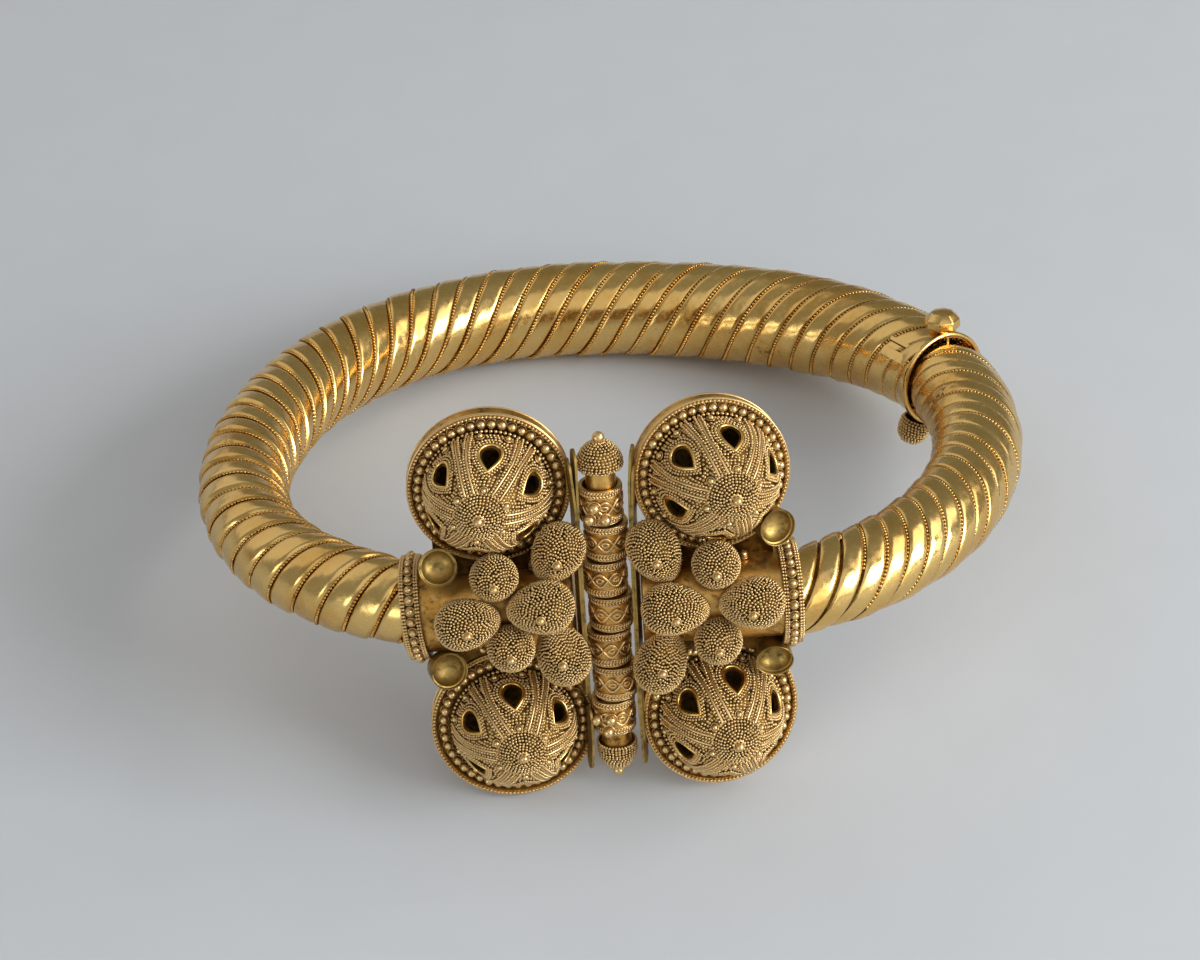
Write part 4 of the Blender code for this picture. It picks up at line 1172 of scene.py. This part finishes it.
def roundel_bed(row, material):
    """The sheet that closes the gap between a tube and the round box above or below it."""
    side, across, height, _, _, radius = ROUNDELS[row][:6]
    hand = 1 if height > 0 else -1

    def lay_out(along, away):
        aside = (along - 0.5) * 1.5 * radius
        near = 0.2 + hand * 4.9
        far = height - hand * (np.sqrt(radius ** 2 - aside ** 2) - 0.5)
        points = [SIDE[side] * (across + aside), 1.1 - 0.3 * away, near + (far - near) * away]
        return BARREL + np.stack(points, 1) * MM

    return sheet(f"roundel_bed_{row}", 20, 4, lay_out, 0.4 * MM, -1, material)


def clasp_tube(side, material):
    """The plain tube of one half, from beside the barrel to its collar."""
    start = clasp_point(side, 3.9 * MM, 0, 0) + np.array((0, 1.0, 0.2)) * MM
    centre, axis = COLLARS[side]
    end = centre + axis * SIDE[side] * 1.05 * MM
    reach = np.linalg.norm(end - start) / MM
    tube = turned(f"clasp_sheet_tube_{side}", [(5.0, 0.0), (5.28, 0.12), (5.32, reach * 0.5), (5.28, reach)],
                  64, material)
    tube.data.transform(REST @ facing(end - start, start))
    return tube


def loose_granules(side, material):
    """The large granules of one half that sit on its tube, each in a ring of wire."""
    rows = LOOSE_GRANULES[side]
    places = np.array([clasp_point(side, *(np.array(row[:3]) * MM)) for row in rows])
    radii = np.array([row[3] for row in rows]) * MM
    outward = unit((places - BARREL) * (0, 1, 1) - (0, 1 * MM, 0))
    seats = places - outward * radii[:, None] * 0.7
    return object_from(f"loose_granules_{side}", [
        strew(model_granule(3), places, radii),
        strew(model_ring(0.16, 20, 5), seats, radii * 0.95, outward),
    ], material, REST)


class ARMLET_OT_clasp_body(bpy.types.Operator):
    """Model the clasp's tubes, strips, beds and loose granules, and give its plain tabs their finish"""

    bl_idname = "armlet.clasp_body"
    bl_label = "Clasp tubes and strips"

    def execute(self, context):
        looks = finishes()
        satin = looks["satin_clasp_gold"]
        for side, body in BODY.items():
            settled(clasp_tube(side, satin), body, "clasp_gold", f"{side}_clasp_tube")
            for node in (f"roundel_tab_upper_{side}", f"roundel_tab_lower_{side}"):
                for slot in FRAME["nodes"][node].material_slots:
                    slot.material = satin
            leaves = [leaf(path, side, looks["filmed_gold"]) for path in STRIPS[side]]
            strip = joined(f"folded_strip_{side}", leaves)
            strip.data.transform(REST)
            settled(strip, body, "clasp_gold", f"{side}_side_plate")
        for row, (side, *_) in ROUNDELS.items():
            # The beds take the dark ground: soil, and painted shade between tube and box.
            bed = roundel_bed(row, looks["soil_and_painted_shade_gold"])
            bed.data.transform(REST)
            settled(bed, BODY[side], "clasp_gold")
        for side, body in BODY.items():
            settled(loose_granules(side, looks["granulated_gold"]), body, "granulated_gold")
        return {"FINISHED"}


def granulated_collar(side, sizes, looks):
    """The band round the end of a clasp tube: beaded borders, and a row of ringed granules between."""
    bead = sizes.wire_bead * 1.15
    rings = [(5.4, -1.1), (5.95, -1.1), (6.0, -0.85), (5.85, -0.7), (5.85, 0.7), (6.0, 0.85), (5.95, 1.1),
             (5.4, 1.1)]
    # The dark ground: soil, and painted shade under the collar's beads.
    band = turned("band", rings, 72, looks["soil_and_painted_shade_gold"], close_start=False, close_end=False)
    borders = [
        paced(circle(radius * MM, hand * height * MM, start=start), 1.9 * bead, closed=True)
        for hand in (-1, 1) for radius, height, start in ((6.05, 1.0, 0), (6.1, 0.72, 0.03))
    ]
    row = circle(6.0 * MM, 0, sizes.collar_granules)
    ornament = object_from("ornament", [
        strew(model_granule(1), np.concatenate(borders), bead),
        strew(model_granule(2), row * np.array((1.04, 1.04, 1)), 0.47 * MM),
        strew(model_ring(0.18, 14, 4), row, 0.52 * MM, row * np.array((1, 1, 0))),
    ], looks["granulated_gold"])
    return joined(f"granulated_collar_{side}", [band, ornament])


class ARMLET_OT_collars(bpy.types.Operator):
    """Model the granulated collars"""

    bl_idname = "armlet.collars"
    bl_label = "Collars"

    def execute(self, context):
        for side, (centre, axis) in COLLARS.items():
            piece = granulated_collar(side, context.scene.armlet_clasp, finishes())
            piece.data.transform(REST @ facing(axis, centre))
            settled(piece, BODY[side], "granulated_gold", f"{side}_collar")
        return {"FINISHED"}


# The rings of a cup, from its back up and over its lip into its hollow.
CUP = ((0.3, -3.8), (1.5, -3.7), (1.95, -2.6), (2.12, -1.2), (2.25, 0.0), (2.21, 0.06), (2.13, 0.0),
       (2.08, -0.38), (1.92, -0.44), (1.84, -0.8), (1.55, -1.25), (1.05, -1.55), (0.5, -1.68), (0.15, -1.7))


class ARMLET_OT_collets(bpy.types.Operator):
    """Model the empty cup settings"""

    bl_idname = "armlet.collets"
    bl_label = "Empty collets"

    def execute(self, context):
        looks = finishes()
        for side, rows in COLLETS.items():
            for row, (across, forward, up, outward, upward) in rows.items():
                name = f"collet_{side}_{row}"
                cup = turned(f"empty_{name}", CUP, 48, looks["filmed_gold"], smooth=35)
                centre = clasp_point(side, across * MM, forward * MM, up * MM)
                cup.data.transform(REST @ facing(mouth_axis(side, outward, upward), centre))
                settled(cup, BODY[side], "clasp_gold", name)
        return {"FINISHED"}


# Barrel and pin.


BARREL_WALL = 2.42 * MM


def on_wall(flat, lift=0.0):
    """Points round a knuckle's wall from arc lengths, counted from its front, and heights."""
    flat = np.asarray(flat, float)
    angle = flat[:, 0] / BARREL_WALL - math.pi / 2
    reach = BARREL_WALL + lift
    return np.stack([reach * np.cos(angle), reach * np.sin(angle), flat[:, 1]], 1)


def plait(level):
    """Places and directions of the short strands of a plaited band: two rows that slant apart."""
    count = 40
    arc = TURN * BARREL_WALL * np.arange(count) / count
    points, directions = [], []
    for hand in (-1, 1):
        flat = np.stack([arc, np.full(count, level + hand * 0.17 * MM)], 1)
        points.append(on_wall(flat, 0.06 * MM))
        ahead = on_wall(flat + (0.1 * MM, hand * 0.1 * MM), 0.06 * MM)
        directions.append(ahead - points[-1])
    return np.concatenate(points), np.concatenate(directions)


def filigree(phase):
    """Two wires that cross round a knuckle and leave a chain of eyes, with a drop of wire in each."""
    round_wall = TURN * BARREL_WALL
    arc = np.linspace(0, round_wall, 121)[:-1]
    wave = 0.82 * MM * np.sin(4 * arc / BARREL_WALL + phase)
    crossing = [on_wall(np.stack([arc, hand * wave], 1), 0.09 * MM) for hand in (-1, 1)]
    turn = np.linspace(0, TURN, 17)[:-1]
    drop = np.stack([0.34 * np.sin(turn) * np.sin(turn / 2), -0.42 * np.cos(turn)], 1) * MM
    drops = []
    for eye in range(8):
        middle = ((eye + 0.5) * math.pi - phase) / 4 * BARREL_WALL
        drops.append(on_wall(drop[:, ::-1] * (1 if eye % 2 else -1) + (middle, 0), 0.06 * MM))
    return crossing, drops


# Large granules in rings on two knuckles: how far round the wall from its front and how high, in millimetres.
CLUSTERS = {1: ((-0.7, 0.3), (-1.27, -1.3), (0.35, -1.25)), 7: ((-1.95, -0.15), (-0.35, 0.2), (-0.65, -1.45))}


def knuckle(index, looks):
    """One knuckle, counted from the top: its wall, filigree, edge wires, plaits and large granules."""
    fine = looks["granulated_gold"]
    rings = [(2.08, -2.15), (2.45, -2.15), (2.38, -1.3), (2.4, 0), (2.38, 1.3), (2.45, 2.15),
             (2.08, 2.15), (2.02, 0), (2.07, -2.14)]
    tube = turned("knuckle", rings, 48, looks["satin_clasp_gold"], close_start=False, close_end=False,
                  smooth=50)
    crossing, drops = filigree(0.9 * index)
    edges = [circle(2.46 * MM, level * MM, 48) for level in (-2.1, -1.3, 1.3, 2.1)]
    lines = [wires("lines", paths, radius * MM, fine, 1, True)
             for paths, radius in ((crossing, 0.155), (drops, 0.12), (edges, 0.08))]
    points, faces = model_granule(1)
    strand = (points * (1, 1, 2.1), faces)
    ornament = []
    for level in (-1.7, 1.7):
        points, directions = plait(level * MM)
        ornament.append(strew(strand, points, 0.155 * MM, directions))
    if index in CLUSTERS:
        flat = np.array(CLUSTERS[index]) * MM
        seats = on_wall(flat, 0.16 * MM)
        ornament.append(strew(model_granule(3), on_wall(flat, 0.5 * MM), 0.66 * MM))
        ornament.append(strew(model_ring(0.13, 20, 5), seats, 0.7 * MM, seats * (1, 1, 0)))
    return joined(f"filigree_knuckle_{index}", [tube, *lines, object_from("ornament", ornament, fine)])


class ARMLET_OT_barrel(bpy.types.Operator):
    """Model the filigree knuckles of the barrel"""

    bl_idname = "armlet.barrel"
    bl_label = "Filigree knuckles"

    def execute(self, context):
        looks = finishes()
        for index in range(1, 8):
            side = "left" if index % 2 else "right"
            piece = knuckle(index, looks)
            place = clasp_point(side, 0.2 * MM, 0, (4 - index) * KNUCKLE_PITCH * MM)
            piece.data.transform(REST @ Matrix.Translation(Vector(place)))
            settled(piece, BODY[side], "granulated_gold", f"knuckle_{index}")
        return {"FINISHED"}


# The two ends of the clasp pin. Rings, rims and balls are radii and heights in millimetres, outward from
# the barrel's end, and each rim has its count of granules too. Covered are the rings under granules.
PIN_ENDS = {
    "head": {
        "hand": 1,
        "neck": ((1.78, -3.2), (1.78, 0.4), (1.74, 1.6), (1.8, 2.4)),
        "body": ((1.9, 2.2), (2.45, 2.25), (2.62, 2.5), (2.5, 3.4), (2.15, 4.1), (1.65, 4.75), (1.0, 5.15),
                 (0.3, 5.3)),
        "covered": slice(1, None),
        "rims": ((0.62, 5.35, 12),),
        "rim_granule": 0.16 * MM,
        "ball": (0.72, 5.9),
        "seed": 13,
    },
    "foot": {
        "hand": -1,
        "neck": ((1.75, -3.2), (1.75, 1.2), (1.85, 2.1)),
        "body": ((1.85, 2.2), (2.1, 1.95), (2.28, 2.1), (2.25, 3.3), (1.97, 4.25), (1.5, 5.0), (0.9, 5.55),
                 (0.3, 5.7)),
        "covered": slice(2, -1),
        "rims": ((2.3, 2.0, 38), (0.9, 5.75, 16)),
        "rim_granule": 0.17 * MM,
        "ball": (0.7, 6.35),
        "seed": 14,
    },
}


def pin_end(end, looks):
    """The granulated head or foot of the clasp pin."""
    form = PIN_ENDS[end]

    def outward(profile, lift=0.0):
        return [(ring, form["hand"] * (BARREL_END + height + lift)) for ring, height in profile]

    neck = turned("neck", outward(form["neck"]), 48, looks["satin_clasp_gold"])
    # The dark ground: soil, and painted shade under the pin end's granules.
    body = turned("body", outward(form["body"]), 40, looks["soil_and_painted_shade_gold"])
    cover = granule_rows(outward(form["body"][form["covered"]], 0.02), 0.42, 0.02)
    cover = shaken(cover, 0.025 * MM, form["seed"])
    rims = []
    for ring, height, count in form["rims"]:
        rims.append(circle(ring * MM, form["hand"] * (BARREL_END + height) * MM, count))
    ball_radius, ball_height = outward([form["ball"]])[0]
    ornament = object_from("ornament", [
        strew(model_granule(1), cover, uneven(0.182 * MM, len(cover), form["seed"])),
        strew(model_granule(1), np.concatenate(rims), form["rim_granule"]),
        strew(model_granule(3), [[0, 0, ball_height * MM]], ball_radius * MM),
    ], looks["granulated_gold"])
    return joined(f"clasp_pin_granulated_{end}", [neck, body, ornament])


def hinge_pin(looks):
    """The hinge's pin: a doubled wire that bends inward below, a faceted knob and a granulated cup."""
    hinge = hinge_position()
    outward, forward = oval_outward(HINGE_ANGLE), oval_forward(HINGE_ANGLE)
    # Where the wire ends and bends: inward and up from the hinge, in millimetres.
    bends = ((0, 7.4), (0, -6.6), (0.9, -7.2), (4.4, -7.3))
    shafts = [[hinge + forward * offset * MM - outward * inward * MM + (0, 0, up * MM)
               for inward, up in bends] for offset in (-0.42, 0.42)]
    posts = wires("posts", shafts, 0.32 * MM, looks["burnished_sheet_gold"], 2)
    # The knob is flattened a little, and stands over the top of the wire.
    knob = primitive(bpy.ops.mesh.primitive_uv_sphere_add, segments=8, ring_count=5, radius=2.5 * MM)
    knob.data.transform(Matrix.Translation(Vector(hinge) + Vector((-0.4, 0, 7.5)) * MM)
                        @ Matrix.Rotation(math.radians(30), 4, "Z") @ Matrix.Diagonal((1, 1, 0.68, 1)))
    edit_all()
    bpy.ops.mesh.bevel(offset=0.14 * MM, segments=2, affect="EDGES")
    bpy.ops.object.mode_set(mode="OBJECT")
    bpy.ops.object.shade_smooth_by_angle(angle=math.radians(25))
    knob.data.materials.append(looks["burnished_sheet_gold"])
    # The cup hangs, tipped to one side, where the wire ends inside the ring.
    cup_place = (Matrix.Translation(Vector(hinge - outward * 4.9 * MM + np.array((0, 0, -6.9 * MM))))
                 @ Matrix.Rotation(math.radians(20), 4, "Y"))
    rings = [(0.3, -2.1), (1.1, -1.85), (1.75, -1.2), (1.95, -0.3), (1.95, 0.9), (1.75, 1.25),
             (1.4, 1.1), (1.3, -0.6), (0.3, -0.9)]
    # The dark ground: soil, and painted shade under the cup's granules.
    cup = turned("cup", rings, 32, looks["soil_and_painted_shade_gold"])
    cover = shaken(granule_rows(rings[1:6], 0.44, 0.03), 0.02 * MM, 15)
    dressing = object_from("dressing", [strew(model_granule(1), cover, 0.2 * MM)], looks["granulated_gold"])
    for part in (cup, dressing):
        part.data.transform(cup_place)
    return joined("hinge_pin_with_knob", [posts, knob, cup, dressing])


class ARMLET_OT_pins(bpy.types.Operator):
    """Model the ends of the clasp pin and the pin of the hinge"""

    bl_idname = "armlet.pins"
    bl_label = "Clasp pin and hinge pin"

    def execute(self, context):
        looks = finishes()
        place = REST @ Matrix.Translation(Vector(clasp_point("left", 0.05 * MM, 0, 0)))
        for end in PIN_ENDS:
            piece = pin_end(end, looks)
            piece.data.transform(place)
            settled(piece, "long_arm", "granulated_gold", f"clasp_pin_{end}")
        pin = hinge_pin(looks)
        pin.data.transform(REST)
        settled(pin, "long_arm", "smooth_gold", "hinge_pin")
        return {"FINISHED"}


# Stage.


# A square key on the right, weaker boxes round it, and fills elsewhere: the direction to each from the
# armlet, its size, its radiance beside that of a lit sheet of white paper, and its colour.
SOFTBOXES = {
    "key_softbox": ((0.80, -0.40, 0.40), (0.5, 0.5), 9.6, (0.92, 1.0, 1.03)),
    "right_high_softbox": ((0.74, 0.1, 0.66), (0.45, 0.45), 2.0, (1.0, 0.96, 0.9)),
    "front_right_fill": ((0.5, -0.8, 0.33), (0.45, 0.45), 1.4, (1.0, 0.97, 0.85)),
    "front_left_fill": ((-0.72, -0.71, 0.14), (0.45, 0.35), 2.9, (0.92, 1.0, 1.0)),
    "front_high_fill": ((0.0, -0.6, 0.8), (0.9, 0.9), 0.5, (0.95, 0.95, 1.0)),
    "rear_left_fill": ((-0.6, 0.6, 0.5), (0.9, 0.9), 0.45, (1.0, 0.95, 0.93)),
}
# The camera, in the ring's frame: its place, its right and up directions, and its lens in image widths.
CAMERA_PLACE = Vector((-1.232, -375.657, 187.621)) * MM
CAMERA_RIGHT = Vector((0.998042, -0.028250, -0.055798))
CAMERA_UP = Vector((0.062541, 0.454433, 0.888583))
CAMERA_LENS = 3262 / 1200


def studio_world():
    """A grey room, a little darker straight behind the armlet."""
    world = bpy.data.worlds.new("studio")
    world.use_nodes = True
    tree = world.node_tree
    background = tree.nodes["Background"]
    direction = add_node(tree, "ShaderNodeTexCoord").outputs["Generated"]
    parts = add_node(tree, "ShaderNodeSeparateXYZ", links={"Vector": direction})
    towards = ramp_between(tree, parts.outputs["Y"], 0.9, 0.3)
    shade = mixed(tree, towards, (0.21, 0.215, 0.18), (0.29, 0.30, 0.29))
    tree.links.new(shade, background.inputs["Color"])
    background.inputs["Strength"].default_value = 1.0
    return world


def softbox(name, direction, size, radiance, tint):
    """A rectangular light that faces the armlet from 0.9 m away."""
    distance = 0.9
    away = Vector(direction).normalized()
    deselect()
    bpy.ops.object.light_add(type="AREA", location=away * distance)
    light = bpy.context.object
    light.name = name
    light.data.shape = "RECTANGLE"
    light.data.size, light.data.size_y = size
    light.data.energy = radiance * math.pi * size[0] * size[1]
    light.data.color = tint
    light.rotation_euler = (-away).to_track_quat("-Z", "Y").to_euler()


class ARMLET_OT_stage(bpy.types.Operator):
    """Add the floor, the soft lights and the camera"""

    bl_idname = "armlet.stage"
    bl_label = "Stage"

    def execute(self, context):
        floor = primitive(bpy.ops.mesh.primitive_plane_add, size=3.0)
        floor.name = "studio_floor"
        floor.data.materials.append(floor_paper())

        scene = context.scene
        scene.view_settings.view_transform = "Standard"
        scene.world = studio_world()
        for name, settings in SOFTBOXES.items():
            softbox(name, *settings)

        camera = bpy.data.cameras.new("camera")
        camera.sensor_width = 36
        camera.lens = CAMERA_LENS * camera.sensor_width
        camera.clip_start = 0.01
        holder = bpy.data.objects.new("camera", camera)
        turn = Matrix((CAMERA_RIGHT, CAMERA_UP, CAMERA_RIGHT.cross(CAMERA_UP))).transposed().to_4x4()
        holder.matrix_world = REST @ Matrix.Translation(CAMERA_PLACE) @ turn
        scene.collection.objects.link(holder)
        scene.camera = holder
        return {"FINISHED"}


class ARMLET_PT_panel(bpy.types.Panel):
    """The armlet's sizes, colours and steps"""

    bl_idname = "ARMLET_PT_panel"
    bl_label = "Gold armlet"
    bl_space_type = "VIEW_3D"
    bl_region_type = "UI"
    bl_category = "Armlet"

    def draw(self, context):
        scene = context.scene
        for group in (scene.armlet_shank, scene.armlet_clasp, scene.armlet_colours):
            box = self.layout.box()
            for key in group.__annotations__:
                box.prop(group, key)
        for operator in OPERATORS:
            self.layout.operator(operator.bl_idname)


GROUPS = {"armlet_shank": ArmletShankSizes, "armlet_clasp": ArmletClaspSizes, "armlet_colours": ArmletColours}
OPERATORS = (
    ARMLET_OT_stage, ARMLET_OT_shank, ARMLET_OT_clasp_body, ARMLET_OT_collars, ARMLET_OT_roundels,
    ARMLET_OT_bosses, ARMLET_OT_collets, ARMLET_OT_barrel, ARMLET_OT_pins,
)


def register():
    for kind in (*GROUPS.values(), *OPERATORS, ARMLET_PT_panel):
        bpy.utils.register_class(kind)
    for name, kind in GROUPS.items():
        setattr(bpy.types.Scene, name, PointerProperty(type=kind))


def unregister():
    for name in GROUPS:
        delattr(bpy.types.Scene, name)
    for kind in (ARMLET_PT_panel, *reversed(OPERATORS), *GROUPS.values()):
        bpy.utils.unregister_class(kind)


def main():
    register()
    bpy.ops.armlet.stage()
    bpy.ops.armlet.shank()
    bpy.ops.armlet.clasp_body()
    bpy.ops.armlet.collars()
    bpy.ops.armlet.roundels()
    bpy.ops.armlet.bosses()
    bpy.ops.armlet.collets()
    bpy.ops.armlet.barrel()
    bpy.ops.armlet.pins()


if __name__ == "__main__":
    main()
